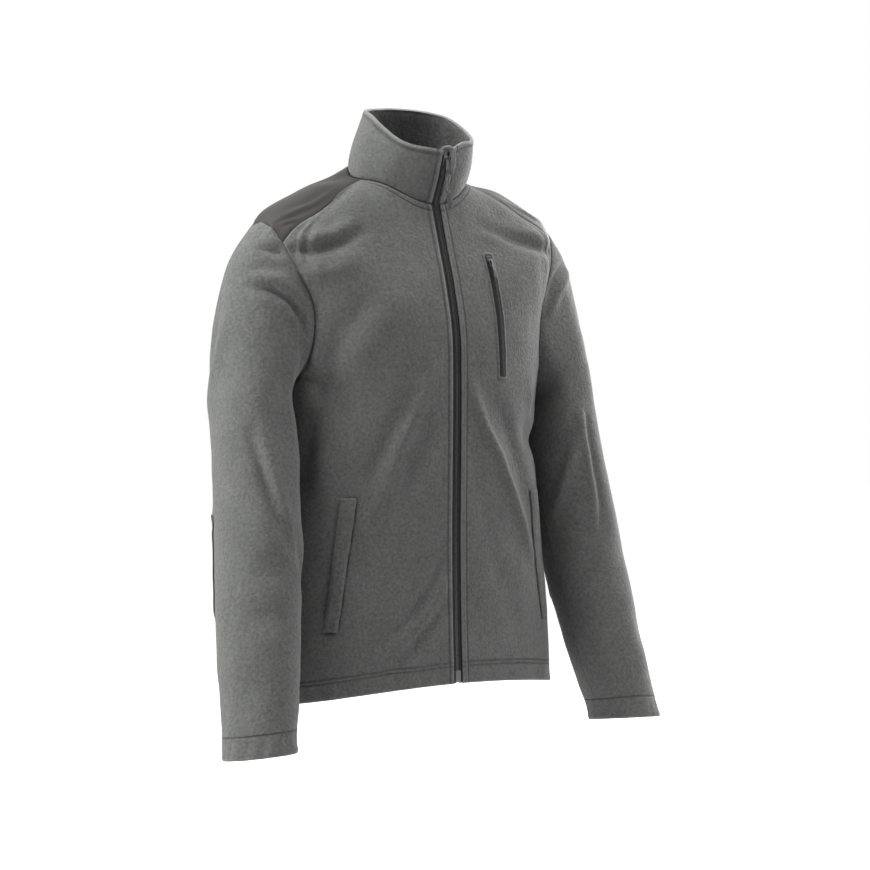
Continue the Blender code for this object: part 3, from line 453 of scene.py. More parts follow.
def squareness_lost(edge):
    """How far from a square corner the four-sided cell would be if this edge were its diagonal."""
    one, two = edge.link_faces
    ends = edge.verts
    tips = [next(vert for vert in face.verts if vert not in ends) for face in (one, two)]
    lost = 0.0
    for corner, (before, after) in ((ends[0], tips), (ends[1], tips), (tips[0], ends), (tips[1], ends)):
        spread = (before.co - corner.co).angle(after.co - corner.co)
        lost += abs(spread - math.pi / 2)
    return lost


def diagonals_of(work):
    """The edges that split a grid's cells: a pairing of its triangles that leaves none over."""
    choices = {face: [edge for edge in face.edges if edge.is_manifold] for face in work.faces}
    taken, diagonals = set(), []

    def open_edges(face):
        return [edge for edge in choices[face] if not any(side in taken for side in edge.link_faces)]

    def pair(edge):
        taken.update(edge.link_faces)
        diagonals.append(edge)
        queue = [other for face in edge.link_faces for side in face.edges for other in side.link_faces]
        for face in queue:
            if face not in taken:
                only = open_edges(face)
                if len(only) == 1:
                    pair(only[0])

    costs = {edge: squareness_lost(edge) for edge in work.edges if edge.is_manifold}
    for face in work.faces:
        if face not in taken and len(open_edges(face)) == 1:
            pair(open_edges(face)[0])
    for edge in sorted(costs, key=costs.get):
        if not any(face in taken for face in edge.link_faces):
            pair(edge)
    return diagonals


def outer_face(node, name, rim=0.0041):
    """A new object with the outer face of a CAD node; `rim` is longer than its wall is thick."""
    mesh = NODES[node].data.copy()
    mesh.name = name
    mesh.materials.clear()
    piece = bpy.data.objects.new(name, mesh)
    bpy.context.scene.collection.objects.link(piece)
    work = bmesh.new()
    work.from_mesh(mesh)
    bmesh.ops.remove_doubles(work, verts=work.verts, dist=1e-5)
    narrow = [face for face in work.faces if min(edge.calc_length() for edge in face.edges) < rim]
    bmesh.ops.delete(work, geom=narrow, context="FACES")
    parts = sorted(connected_parts(work.faces), key=lambda part: sum(face.calc_area() for face in part))
    inner = [face for part in parts[:-1] for face in part]
    bmesh.ops.delete(work, geom=inner, context="FACES")
    bmesh.ops.dissolve_edges(work, edges=diagonals_of(work), use_verts=False)
    work.to_mesh(mesh)
    triangles = sum(len(face.verts) == 3 for face in work.faces)
    print(f"{name}: {len(work.faces)} cells, {triangles} of them three-sided")
    work.free()
    return piece


# %% [markdown]
# ## Smoothing a panel without shrinking it
#
# Subdivision Surface rounds a mesh off, but it also pulls it inside the points that were given.
# The true points are known, so each point of the cage is moved straight out by what it lost, a few
# times over, until the smooth surface comes close to them. Points on the border get back all that
# they lost, so they stay on their seams. The cells beside a seam can end up crowded or sheared, so
# the points there are then let slide until they lie evenly. Folds are pushed along directions that
# are evened out too, or a fold would crumple where the surface turns a corner.

# %% Smooth surface through the given points
def subdivided(piece, levels, name):
    """Adds a subdivision that rounds the border too but keeps its corners."""
    modifier = piece.modifiers.new(name, "SUBSURF")
    modifier.levels = levels
    modifier.render_levels = levels
    modifier.boundary_smooth = "PRESERVE_CORNERS"
    modifier.use_limit_surface = True
    return modifier


def coordinates(mesh):
    """The mesh's points, a row each."""
    flat = np.empty(len(mesh.vertices) * 3)
    mesh.vertices.foreach_get("co", flat)
    return flat.reshape(-1, 3)


def set_coordinates(mesh, places):
    """Puts the mesh's points at these places."""
    mesh.vertices.foreach_set("co", np.asarray(places, dtype=float).ravel())
    mesh.update()


def normals_of(mesh):
    """The direction in which the surface faces at each point."""
    flat = np.empty(len(mesh.vertices) * 3, dtype=np.float32)
    mesh.vertex_normals.foreach_get("vector", flat)
    return flat.reshape(-1, 3).astype(float)


def unit(rows):
    """Each row as a direction, one long."""
    return rows / np.linalg.norm(rows, axis=1)[:, None]


def step(values, low, high):
    """0 below low, 1 above high, and a smooth rise between."""
    share = np.clip((values - low) / (high - low), 0.0, 1.0)
    return share * share * (3 - 2 * share)


def distance_to(places, targets, far=1.0):
    """For each place, the distance to the nearest target."""
    if len(targets) == 0:
        return np.full(len(places), far)
    finder = KDTree(len(targets))
    for index, target in enumerate(targets):
        finder.insert(target, index)
    finder.balance()
    return np.array([finder.find(place)[2] for place in places])


def distance_to_line(places, line):
    """For each place, the distance to a line of straight runs, at most a metre."""
    away = np.full(len(places), 1.0)
    for start, end in zip(line[:-1], line[1:]):
        way = end - start
        share = np.clip((places - start) @ way / (way @ way), 0, 1)
        away = np.minimum(away, np.linalg.norm(places - start - share[:, None] * way, axis=1))
    return away


def border_mask(mesh):
    """Which of the mesh's points lie on its border."""
    work = bmesh.new()
    work.from_mesh(mesh)
    on_border = np.array([vert.is_boundary for vert in work.verts])
    work.free()
    return on_border


def keep_corners(piece, least=26):
    """Points where the border turns by more than `least` degrees stay sharp under subdivision."""
    work = bmesh.new()
    work.from_mesh(piece.data)
    crease = work.verts.layers.float.new("crease_vert")
    corners = 0
    for vert in work.verts:
        if vert.is_boundary:
            one, two = [edge.other_vert(vert).co - vert.co for edge in vert.link_edges if edge.is_boundary]
            if math.pi - one.angle(two) > math.radians(least):
                vert[crease] = 1.0
                corners += 1
    work.to_mesh(piece.data)
    work.free()
    return corners


def smooth_through_points(piece, levels, rounds=7):
    """Subdivides a panel so that its smooth surface still runs through the points given."""
    corners, on_border = keep_corners(piece), border_mask(piece.data)
    wanted = coordinates(piece.data)
    outward = normals_of(piece.data)
    cage = wanted.copy()
    modifier = subdivided(piece, 1, "trial")
    for _ in range(rounds):
        set_coordinates(piece.data, cage)
        bpy.context.view_layer.update()
        evaluated = piece.evaluated_get(bpy.context.evaluated_depsgraph_get())
        reached = coordinates(evaluated.to_mesh())[: len(wanted)]
        evaluated.to_mesh_clear()
        lost = wanted - reached
        straight_out = outward * np.einsum("ij,ij->i", lost, outward)[:, None]
        cage += np.where(on_border[:, None], lost, straight_out)
    missed = np.abs(np.einsum("ij,ij->i", wanted - reached, outward)).max()
    modifier.levels = modifier.render_levels = levels
    make_active(piece)
    bpy.ops.object.modifier_apply(modifier=modifier.name)
    print(f"{piece.name}: {len(piece.data.polygons)} faces, {corners} corners kept, "
          f"off its points by {missed * 1000:.2f} mm at most")


def neighbour_means(mesh):
    """A function that takes a row of values for each point to the means over its neighbours."""
    ends = np.array([edge.vertices[:] for edge in mesh.edges])
    near, far = np.concatenate((ends[:, 0], ends[:, 1])), np.concatenate((ends[:, 1], ends[:, 0]))
    neighbours = np.bincount(near, minlength=len(mesh.vertices))

    def means(values):
        sums = [np.bincount(near, values[far, axis], len(values)) for axis in range(3)]
        return np.stack(sums, axis=1) / neighbours[:, None]

    return means


def settle_border(piece, reach=0.009, rounds=30):
    """Lets the points near the border slide until they lie evenly between it and the rest."""
    mesh = piece.data
    places, on_border = coordinates(mesh), border_mask(mesh)
    loose = (1 - step(distance_to(places, places[on_border]), 0.5 * reach, reach)) * ~on_border
    means = neighbour_means(mesh)
    for _ in range(rounds):
        places += loose[:, None] * (means(places) - places)
    set_coordinates(mesh, places)


def soft_normals(mesh, rounds=14):
    """The directions in which a panel is pushed out or in, evened out between neighbours."""
    means = neighbour_means(mesh)
    normals = normals_of(mesh)
    for _ in range(rounds):
        normals = 0.5 * normals + 0.5 * means(normals)
    return unit(normals)


# %% [markdown]
# ## Knowing how far a point is from each seam
#
# Stitching, rolled edges and folds that die out at a seam all need the distance to it. The border
# points of a panel are sorted by what lies next to them: the collar, a sleeve, a patch, the zip,
# or nothing at all, which is a turned-up hem. A distance field for each kind is kept on the mesh
# as an attribute, so materials can read it too.

# %% Distances to the borders of a panel
CLOTH_NODES = ("back", "front_left", "front_right", "shoulder_patch_left", "shoulder_patch_right",
               "sleeve_left", "sleeve_right", "collar")
ZIP_SIDE = 0.0090  # a point in front, this near the middle plane, lies beside the zip
NEXT_TO = 0.0032  # near a hem, a point is sewn to another piece only if that is this near
ALWAYS_SEWN = 0.0120  # higher up, this is near enough
TURNED_UP_BELOW = {"back": -0.62, "front": -0.62, "sleeve": -0.70, "collar": -9.0, "shoulder_patch": -9.0}


def node_tree(node):
    """A search tree over the CAD mesh of a node."""
    work = bmesh.new()
    work.from_mesh(NODES[node].data)
    tree = BVHTree.FromBMesh(work)
    work.free()
    return tree


NODE_TREES = {node: node_tree(node) for node in CLOTH_NODES}


def kind_of_border(node, place):
    """What lies beyond this border point: another piece, the zip, or nothing ("free")."""
    if abs(place.x) < ZIP_SIDE and place.y < 0 and node.startswith(("front", "collar")):
        return "zip"
    may_be_free = place.z < TURNED_UP_BELOW[node.removesuffix("_left").removesuffix("_right")]
    best, kind = NEXT_TO if may_be_free else ALWAYS_SEWN, "free"
    for other in CLOTH_NODES:
        if other != node:
            found = NODE_TREES[other].find_nearest(place, best)
            if found[0] is not None and found[3] < best:
                best, kind = found[3], other.removesuffix("_left").removesuffix("_right")
    return kind


def border_kinds(piece, node):
    """The border vertices of a panel, sorted by what lies beyond each: {kind: [place, ...]}."""
    work = bmesh.new()
    work.from_mesh(piece.data)
    kinds = {}
    for vert in work.verts:
        if vert.is_boundary:
            kinds.setdefault(kind_of_border(node, vert.co), []).append(vert.co.copy())
    work.free()
    print(f"{node}: border points", {kind: len(places) for kind, places in sorted(kinds.items())})
    return kinds


def keep_attribute(mesh, name, values):
    """Keeps one number for each point on the mesh."""
    layer = mesh.attributes.get(name) or mesh.attributes.new(name, "FLOAT", "POINT")
    layer.data.foreach_set("value", np.asarray(values, dtype=np.float32))


# %% [markdown]
# ## Folds, listed one by one
#
# Fleece is thick and springy, so its folds are few, wide and soft: a trough with a ridge beside
# it, deepest in the middle and fading at both ends. Each fold is a line of points on the form,
# with its half width, its depth, and the height of the ridge on its left as one looks at the
# cloth from outside and walks along the line. A negative ridge lies on the right. The numbers
# are in millimetres. No two are alike, because cloth strains differently at each place.

# %% The folds of the jacket
BODY_FOLDS = [
    # points (x, y, z), half width, depth, ridge
    # below the right shoulder patch, from the armhole towards the zip
    ([(-203, -58, -109), (-182, -71, -110), (-149, -79, -100), (-116, -79, -84)], 8, 5.6, 3.2),
    ([(-200, -64, -140), (-168, -84, -134), (-130, -92, -122)], 11, -2.4, 0.0),
    # right front: strains from the chest to the side, and the hang beside the zip
    ([(-60, -112, -150), (-98, -108, -195), (-136, -98, -250)], 20, -2.6, 0.0),
    ([(-181, -75, -176), (-182, -74, -205), (-184, -72, -232)], 6, 2.2, 0.0),
    ([(-192, -70, -220), (-187, -73, -248), (-178, -75, -270)], 6, -2.6, 0.0),
    ([(-140, -92, -146), (-128, -98, -176), (-138, -97, -204)], 10, 1.8, 0.0),
    ([(-198, -56, -262), (-186, -70, -275), (-176, -77, -288)], 8, 4.0, 0.0),
    ([(-150, -88, -200), (-164, -82, -250), (-176, -68, -310)], 14, 3.2, -2.0),
    ([(-36, -129, -264), (-63, -124, -319), (-85, -118, -362), (-106, -112, -420), (-127, -105, -466)],
     10, -3.4, 0.0),
    ([(-72, -122, -296), (-100, -113, -350), (-120, -106, -402)], 10, 3.0, 0.0),
    ([(-40, -128, -330), (-66, -123, -388), (-86, -118, -444)], 12, 2.2, 0.0),
    ([(-10, -129, -484), (-18, -128, -500), (-35, -127, -534), (-63, -125, -570), (-106, -119, -610)],
     9, 3.4, 2.4),
    ([(-24, -130, -568), (-48, -128, -596), (-82, -125, -632), (-110, -120, -652)], 9, 2.6, 1.8),
    ([(-178, -58, -330), (-184, -50, -372), (-185, -48, -414)], 14, 3.5, 2.0),
    # left front: the long drape beside the zip
    ([(22, -128, -340), (34, -127, -400), (50, -126, -470), (72, -122, -540)], 13, 1.4, 0.0),
    ([(18, -130, -276), (44, -127, -335), (73, -121, -378), (93, -116, -416), (116, -109, -458),
      (142, -99, -512)], 9, -4.8, 0.0),
    ([(56, -124, -292), (88, -118, -338), (112, -111, -382), (130, -104, -432)], 14, 3.2, 0.0),
    ([(140, -92, -284), (146, -88, -306), (150, -86, -322)], 12, -2.4, 0.0),
    ([(128, -100, -346), (152, -82, -354), (170, -58, -360), (180, -30, -366)], 18, 4.2, 0.0),
    ([(66, -122, -520), (96, -116, -580), (112, -112, -640)], 14, 1.0, 0.0),
    ([(211, -53, -105), (186, -68, -104), (150, -79, -95), (112, -83, -88)], 9, 4.4, -2.0),
    ([(110, -82, -86), (88, -84, -78), (66, -84, -74)], 7, 1.6, 1.2),
    # back: drawn in between the shoulder blades, and gathered in the small of the back
    ([(-196, 62, -150), (-140, 92, -190), (-84, 104, -216)], 14, 3.2, 2.2),
    ([(200, 60, -146), (150, 88, -196), (96, 102, -232)], 13, 3.4, -2.4),
    ([(-178, 52, -300), (-120, 88, -350), (-40, 100, -384)], 16, 3.4, 2.6),
    ([(180, 48, -312), (132, 82, -350), (70, 94, -376)], 14, 3.0, -2.2),
    ([(-150, 66, -430), (-70, 84, -452), (20, 88, -446)], 13, 3.6, 2.8),
    ([(156, 60, -448), (96, 80, -470), (30, 86, -486)], 12, 2.8, -2.0),
    ([(-60, 92, -540), (-44, 96, -600), (-36, 104, -662)], 16, 2.4, 1.4),
    ([(84, 88, -530), (96, 92, -600), (92, 98, -664)], 15, -2.6, 0.0),
]
PATCH_FOLDS = [
    # faint creases along the woven patches
    ([(-221, -33, -78), (-193, -44, -66), (-157, -46, -50), (-124, -43, -33)], 4, 0.8, 0.7),
    ([(-214, -38, -80), (-192, -53, -74), (-172, -56, -66)], 3, 0.7, 0.6),
    ([(-196, -28, -58), (-170, -36, -47), (-140, -34, -33)], 5, 0.6, -0.6),
    ([(219, -30, -76), (190, -42, -64), (150, -45, -46)], 4, 0.8, -0.7),
    ([(200, -26, -60), (168, -34, -45), (132, -36, -30)], 5, 0.7, 0.5),
]
SLEEVE_FOLDS = {
    "right": [
        # dimples on the cap and the folds that ring the upper arm
        ([(-240, -34, -104), (-228, -43, -108), (-212, -54, -112), (-200, -60, -116)], 5, 4.4, 1.6),
        ([(-258, -34, -136), (-240, -46, -132), (-214, -58, -135)], 8, 1.6, -1.2),
        ([(-256, -40, -152), (-234, -57, -159), (-216, -65, -171), (-200, -70, -193), (-190, -72, -216)],
         7, 5.4, 2.4),
        ([(-238, -59, -178), (-218, -68, -204), (-199, -71, -232)], 10, 2.2, 1.6),
        ([(-232, -74, -256), (-214, -78, -280), (-200, -80, -304)], 12, 0.8, 0.0),
        ([(-203, -68, -178), (-197, -73, -210), (-194, -76, -244), (-192, -76, -268)], 12, 3.0, 0.0),
        ([(-276, -70, -336), (-272, -88, -380), (-266, -100, -414), (-259, -106, -442), (-246, -112, -480)],
         8, 3.8, 2.2),
        ([(-240, -104, -452), (-226, -104, -492), (-214, -96, -528)], 10, 2.0, 1.2),
        ([(-300, -84, -520), (-288, -108, -560), (-262, -122, -588)], 14, 0.8, 0.0),
        # outer side and back of the arm, and the crook of the elbow
        ([(-286, 6, -190), (-292, 22, -236), (-280, 36, -280)], 13, 2.8, 2.0),
        ([(-290, 24, -400), (-298, 12, -432), (-302, 0, -456)], 11, 2.8, -1.8),
        ([(-236, 8, -420), (-262, 16, -452), (-290, 8, -476)], 10, 3.0, 2.2),
        ([(-246, -14, -560), (-270, -6, -586), (-288, -8, -600)], 10, 2.2, -1.4),
    ],
    "left": [
        ([(186, -74, -180), (203, -65, -152), (220, -54, -136), (240, -38, -122)], 7, 4.8, -3.4),
        ([(196, -72, -206), (222, -70, -190), (252, -52, -176)], 11, 1.6, 0.0),
        ([(244, -84, -316), (232, -87, -350), (220, -87, -380), (208, -78, -432), (204, -66, -468)],
         8, -3.0, 0.0),
        ([(246, -82, -322), (251, -92, -386), (254, -102, -447), (252, -108, -480)], 6, 2.6, -2.4),
        ([(262, -108, -440), (240, -108, -500), (226, -104, -548)], 12, 1.4, 0.0),
        ([(286, 10, -196), (292, 22, -240), (282, 34, -286)], 13, 2.8, -2.0),
        ([(240, 8, -428), (266, 14, -456), (288, 10, -476)], 10, 2.8, -2.0),
        ([(288, 24, -400), (296, 14, -430), (300, 4, -452)], 11, 2.6, 1.8),
        ([(250, -16, -566), (272, -6, -590), (288, -6, -604)], 10, 2.0, 1.4),
    ],
}
THROUGH = 0.013  # a line further than this above or below the cloth belongs to another side


def fold_height(places, normals, folds):
    """The height that the folds add at each place, in metres."""
    height = np.zeros(len(places))
    for points, half_width, depth, ridge in folds:
        line = np.array(points, dtype=float) / 1000
        half_width, depth, ridge = half_width / 1000, depth / 1000, ridge / 1000
        lengths = np.linalg.norm(np.diff(line, axis=0), axis=1)
        runs = np.concatenate(([0], np.cumsum(lengths)))
        nearest = np.full(len(places), 9.0)
        along = np.zeros(len(places))
        side = np.zeros(len(places))
        beyond = np.zeros(len(places))
        for start, end, run, length in zip(line[:-1], line[1:], runs, lengths):
            way = (end - start) / length
            reach = (places - start) @ way
            share = np.clip(reach, 0, length)
            off = places - (start + share[:, None] * way)
            above = np.einsum("ij,ij->i", off, normals)
            level = np.maximum(np.einsum("ij,ij->i", off, off) - above ** 2, 0)
            away = np.sqrt(level + (3 * np.maximum(np.abs(above) - THROUGH, 0)) ** 2)
            closer = away < nearest
            nearest[closer] = away[closer]
            along[closer] = (run + share)[closer] / runs[-1]
            leftward = np.cross(normals, way)
            side[closer] = np.sign(np.einsum("ij,ij->i", off, leftward))[closer]
            past = np.where(run == 0, np.maximum(-reach, 0), 0)
            past = np.where(run + length > runs[-1] - 1e-9, np.maximum(reach - length, 0), past)
            beyond[closer] = past[closer]
        fade = np.sin(np.pi * np.clip(0.08 + 0.84 * along, 0, 1)) ** 0.7
        height -= depth * fade * np.exp(-((nearest / half_width) ** 2))
        if ridge:
            across = side * np.sqrt(np.maximum(nearest ** 2 - beyond ** 2, 0))
            crest = across - math.copysign(1.7 * half_width, ridge)
            height += abs(ridge) * fade * np.exp(-((crest / (1.1 * half_width)) ** 2)
                                                 - (beyond / half_width) ** 2)
    return height


def unevenness(places):
    """Slow swells and dips of a millimetre or so, since no cloth hangs perfectly smooth."""
    return np.array([
        0.0011 * solid_noise.noise(Vector(place) * 15) + 0.0007 * solid_noise.noise(Vector(place) * 34)
        for place in places
    ])


def puckers(places, to_hem, depth, shift):
    """Short waves in a turned-up hem, where the twin stitching has drawn it in unevenly."""
    waves = np.array([
        solid_noise.noise(Vector((place[0] * 46 + shift, place[1] * 46, place[2] * 8)))
        + 0.7 * solid_noise.noise(Vector((place[0] * 95, place[1] * 95 + shift, place[2] * 14)))
        for place in places
    ])
    return depth * waves * (1 - step(to_hem, 0.012, 0.034))


print("folds on the body:", len(BODY_FOLDS), "and on the sleeves:",
      {side: len(folds) for side, folds in SLEEVE_FOLDS.items()})

# %% [markdown]
# ## Finishing a panel
#
# The same steps finish every panel: smooth it, measure its distances, press the folds in and roll
# its edges. Its wall comes near the end of the script, when everything has been laid on its face.
# The folds fade away close to a seam and beside the zip. Next to a seam the cloth dips into the
# stitching, and along the zip, the hem and the cuffs, where it is turned under, it swells a
# little instead.

# %% From a CAD node to a finished panel
def bell(values, at, half_width):
    """A bell curve, 1 at the value `at`."""
    return np.exp(-(((values - at) / half_width) ** 2))


def weigh_turned_edges(mesh):
    """A bevel weight on the rim's sharp edges where the cloth is turned under, none along a seam."""
    work = bmesh.new()
    work.from_mesh(mesh)
    off_edge = work.verts.layers.float["to_edge"]
    weight = work.edges.layers.float.new("bevel_weight_edge")
    for edge in work.edges:
        on_rim = all(vert[off_edge] < 0.0002 for vert in edge.verts)
        if on_rim and edge.is_manifold and edge.calc_face_angle() > math.radians(40):
            edge[weight] = 1.0
    work.to_mesh(mesh)
    work.free()


def wall_added(piece, thickness):
    """Gives a surface its wall, towards the inside, and rounds its turned-under edges."""
    solidify = piece.modifiers.new("wall", "SOLIDIFY")
    solidify.thickness = thickness
    solidify.offset = -1.0
    solidify.use_even_offset = False
    solidify.use_rim = True
    make_active(piece)
    bpy.ops.object.modifier_apply(modifier=solidify.name)
    weigh_turned_edges(piece.data)
    rounding = piece.modifiers.new("rounded rim", "BEVEL")
    rounding.width = thickness * 0.34
    rounding.segments = 2
    rounding.limit_method = "WEIGHT"
    bpy.ops.object.modifier_apply(modifier=rounding.name)
    bpy.ops.object.shade_smooth()


def inset_border(piece, width):
    """One more loop of faces close to the border, so that it can roll over."""
    work = bmesh.new()
    work.from_mesh(piece.data)
    bmesh.ops.inset_region(work, faces=work.faces, thickness=width, depth=0, use_boundary=True,
                           use_even_offset=False)
    work.to_mesh(piece.data)
    work.free()


PANELS = {}
SURFACES = {}
FOLD_STRENGTH = 1.7
NECK_STITCH = ((0.008, 0.011), (0.070, 0.0062))  # its distance from the seam at two places across


def neck_line(places, to_collar):
    """1 on the topstitching below the neck seam, which runs further off it towards the front."""
    (near, wide), (far, slim) = NECK_STITCH
    gap = np.interp(np.abs(places[:, 0]), (near, far), (wide, slim))
    return to_collar / gap


def surface_tree(mesh):
    """A search tree over a panel, to lay other pieces on it."""
    return BVHTree.FromPolygons([vert.co for vert in mesh.vertices],
                                [face.vertices[:] for face in mesh.polygons])


# the seam down the inside of the left arm, in millimetres
UNDERARM = ((193, -28, -300), (196, -38, -380), (200, -52, -455), (205, -62, -505), (215, -79, -570),
            (224, -90, -624), (232, -101, -672), (240, -118, -716), (243, -124, -752))


def to_underarm(places, node):
    """The distance to the seam down the inside of a sleeve; 1 on every other piece."""
    if not node.startswith("sleeve"):
        return np.full(len(places), 1.0)
    side = 1 if node.endswith("left") else -1
    return distance_to_line(places, np.array(UNDERARM, dtype=float) / 1000 * (side, 1, 1))


# folds die out towards a seam: (none of them this near, all of them from here), in metres
CALM = {"sleeve": (0.0, 0.007), "collar": (0.0, 0.014), "front": (0.0, 0.012), "back": (0.0, 0.012),
        "shoulder_patch": (0.0, 0.012), "zip": (0.004, 0.022)}
PUCKER = {"sleeve": 0.0022, "body": 0.0016}  # depth of the waves in a turned-up hem
SEAM_DIP = (0.0011, 0.0028)  # depth and half width
TURNED_SWELL = (0.0007, 0.0040, 0.0030)  # height, distance from the edge, half width
TURNED_DIP = (0.0006, 0.0018)  # depth at the edge itself, and half width


def finished_panel(node, name, levels, folds, material):
    """A cloth piece from its CAD node: smooth, folded, and with its distances kept for the finish."""
    piece = outer_face(node, name, 0.006 if node == "collar" else 0.0041)
    smooth_through_points(piece, levels)
    settle_border(piece)
    if node == "collar":
        inset_border(piece, 0.0008)
    kinds = border_kinds(piece, node)
    mesh = piece.data
    places, normals = coordinates(mesh), soft_normals(mesh)
    to = {kind: distance_to(places, targets) for kind, targets in kinds.items()}
    none = np.full(len(places), 1.0)
    seams = np.minimum.reduce([none] + [to[kind] for kind in to if kind not in ("zip", "free")])
    turned = np.minimum(to.get("zip", none), to.get("free", none))
    is_collar, is_sleeve = node == "collar", node.startswith("sleeve")
    near = dict(to)
    if is_sleeve:
        near["sleeve"] = np.minimum.reduce([none] + [to[kind] for kind in to if kind != "free"])
    calm = np.ones(len(places))
    for kind, (low, high) in CALM.items():
        calm = calm * step(near.get(kind, none), low, high)
    height = (FOLD_STRENGTH * fold_height(places, normals, folds) + unevenness(places)) * calm
    free = to.get("free", none)
    hem, rim = (none, free) if is_collar else (free, none)
    # the length of the name shifts the waves, so the hems do not all pucker alike
    height += puckers(places, hem, PUCKER["sleeve" if is_sleeve else "body"], len(node))
    height -= SEAM_DIP[0] * bell(seams, 0, SEAM_DIP[1])
    height += TURNED_SWELL[0] * bell(turned, *TURNED_SWELL[1:])
    height -= TURNED_DIP[0] * bell(turned, 0, TURNED_DIP[1])
    set_coordinates(mesh, places + normals * height[:, None])
    collar_gap = none if "patch" in node else to.get("collar", none)
    for title, values in (
        ("to_edge", turned), ("to_seam", seams), ("to_zip", to.get("zip", none)), ("to_hem", hem),
        ("to_rim", rim), ("neck_line", neck_line(places, collar_gap)),
        ("to_underarm", to_underarm(places, node)), ("to_mouth", none),
    ):
        keep_attribute(mesh, title, values)
    PANELS[node], SURFACES[node] = piece, surface_tree(mesh)
    mesh.materials.append(material)
    return piece


print("panel steps ready")

# %% [markdown]
# ## The body: back, two fronts and the shoulder patches
#
# The back is one piece from armhole to armhole. Each front ends at the zip with a turned edge.
# The patches lie along the top of the shoulders between them, cut from the woven cloth.

# %% Body panels
finished_panel("back", "back_panel", 3, BODY_FOLDS, FLEECE)
for side in ("left", "right"):
    finished_panel(f"front_{side}", f"front_panel_{side}", 3, BODY_FOLDS, FLEECE)
    finished_panel(f"shoulder_patch_{side}", f"shoulder_patch_cloth_{side}", 4, PATCH_FOLDS, WOVEN)

# %% [markdown]
# ## The sleeves
#
# Each sleeve is one piece, closed by a seam under the arm, and set into the armhole with a little
# fullness over the shoulder. The arms hang slightly forward, so cloth piles up in short folds in
# front of the armpit.

# %% Sleeves
for side in ("left", "right"):
    finished_panel(f"sleeve_{side}", f"sleeve_cloth_{side}", 3, SLEEVE_FOLDS[side], FLEECE_SLEEVE)

# %% [markdown]
# ## The collar
#
# Two layers of fleece, turned at the rim and topstitched, standing up round the neck.

# %% Collar
finished_panel("collar", "collar_cloth", 4, [], FLEECE_COLLAR)

# %% [markdown]
# ## The hand pockets and the elbow patches
#
# A pocket's welt is a narrow folded band of fleece, sewn down at its ends, that stands over the
# slanted opening. The elbow patches are sewn flat on the sleeves. They take the same folds as the
# cloth under them, so that they stay on it, and then they are crowned between their edges.

# %% Pocket welts and elbow patches
def laid_piece(node, name, levels, folds, material, crown, reach):
    """A small piece on a panel: it follows the panel's folds and swells `crown` inside its edge."""
    piece = outer_face(node, name, 0.0041)
    smooth_through_points(piece, levels)
    mesh = piece.data
    places, normals = coordinates(mesh), normals_of(mesh)
    edge = distance_to(places, places[border_mask(mesh)])
    height = FOLD_STRENGTH * fold_height(places, normals, folds) + unevenness(places)
    height += crown * step(edge, 0.0, reach) - 0.3 * crown
    set_coordinates(mesh, places + normals * height[:, None])
    keep_attribute(mesh, "to_edge", edge)
    keep_attribute(mesh, "to_rim", edge)
    PANELS[node] = piece
    mesh.materials.append(material)
    return piece


# the welt's front edge from its top to its foot, and its outer lower corner: x from the middle, z
WELT_TOP, WELT_FOOT, WELT_CORNER = (0.136, -0.424), (0.163, -0.595), (0.181, -0.595)
KEPT_WIDTH = (0.90, 0.12)  # the share of the width kept at the top, and how much less at the foot
CORNER = 0.013  # how far from the corner the rounding begins


def trimmed_welt(side):
    """Narrow the welt a little towards its foot and round off its lower outer corner."""
    mesh = PANELS[f"pocket_welt_{side}"].data
    places = coordinates(mesh)
    sign = 1 if side == "left" else -1
    top, foot = np.array(WELT_TOP), np.array(WELT_FOOT)
    down = np.clip((top[1] - places[:, 2]) / (top[1] - foot[1]), 0, 1)
    front_edge = top[0] + down * (foot[0] - top[0])
    across = sign * places[:, 0] - front_edge
    kept_share = KEPT_WIDTH[0] - KEPT_WIDTH[1] * down
    to_outer = (across.max() - across) * kept_share
    across *= kept_share
    inwards = np.stack([CORNER - to_outer, CORNER - (places[:, 2] - places[:, 2].min())], axis=1)
    inwards = np.maximum(inwards, 0)
    shrink = inwards.max(axis=1) / np.maximum(np.linalg.norm(inwards, axis=1), 1e-9)
    pulled = inwards * (1 - np.where(inwards.min(axis=1) > 0, shrink, 1))[:, None]
    new = places.copy()
    new[:, 0] = sign * (front_edge + across - pulled[:, 0])
    new[:, 2] += pulled[:, 1]
    tree, backwards = SURFACES[f"front_{side}"], Vector((0, 1, 0))
    for index, pair in enumerate(zip(places, new)):
        before, after = [tree.ray_cast(Vector((p[0], -0.5, p[2])), backwards)[0] for p in pair]
        if before and after:
            new[index, 1] += after.y - before.y
    set_coordinates(mesh, new)


for side in ("left", "right"):
    laid_piece(f"pocket_welt_{side}", f"pocket_band_{side}", 4, BODY_FOLDS, FLEECE_TRIM, 0.0011, 0.0050)
    trimmed_welt(side)
    laid_piece(f"elbow_patch_{side}", f"elbow_cloth_{side}", 3, SLEEVE_FOLDS[side], WOVEN, 0.0006, 0.0020)

# %% [markdown]
# ## The mouth of a pocket
#
# The welt's front edge and its lower end are not sewn to the cloth behind it but to the pocket, so there is
# a sharp dark gap along them. The front panels get the distance to those two edges as an attribute, and
# their material sinks there and takes a line of painted shade. The line is drawn at the welt's full width,
# so it runs on a few millimetres past the foot, which is trimmed narrower.

# %% Distance to the pocket's mouth
MOUTH = np.array((WELT_TOP, WELT_FOOT, WELT_CORNER))

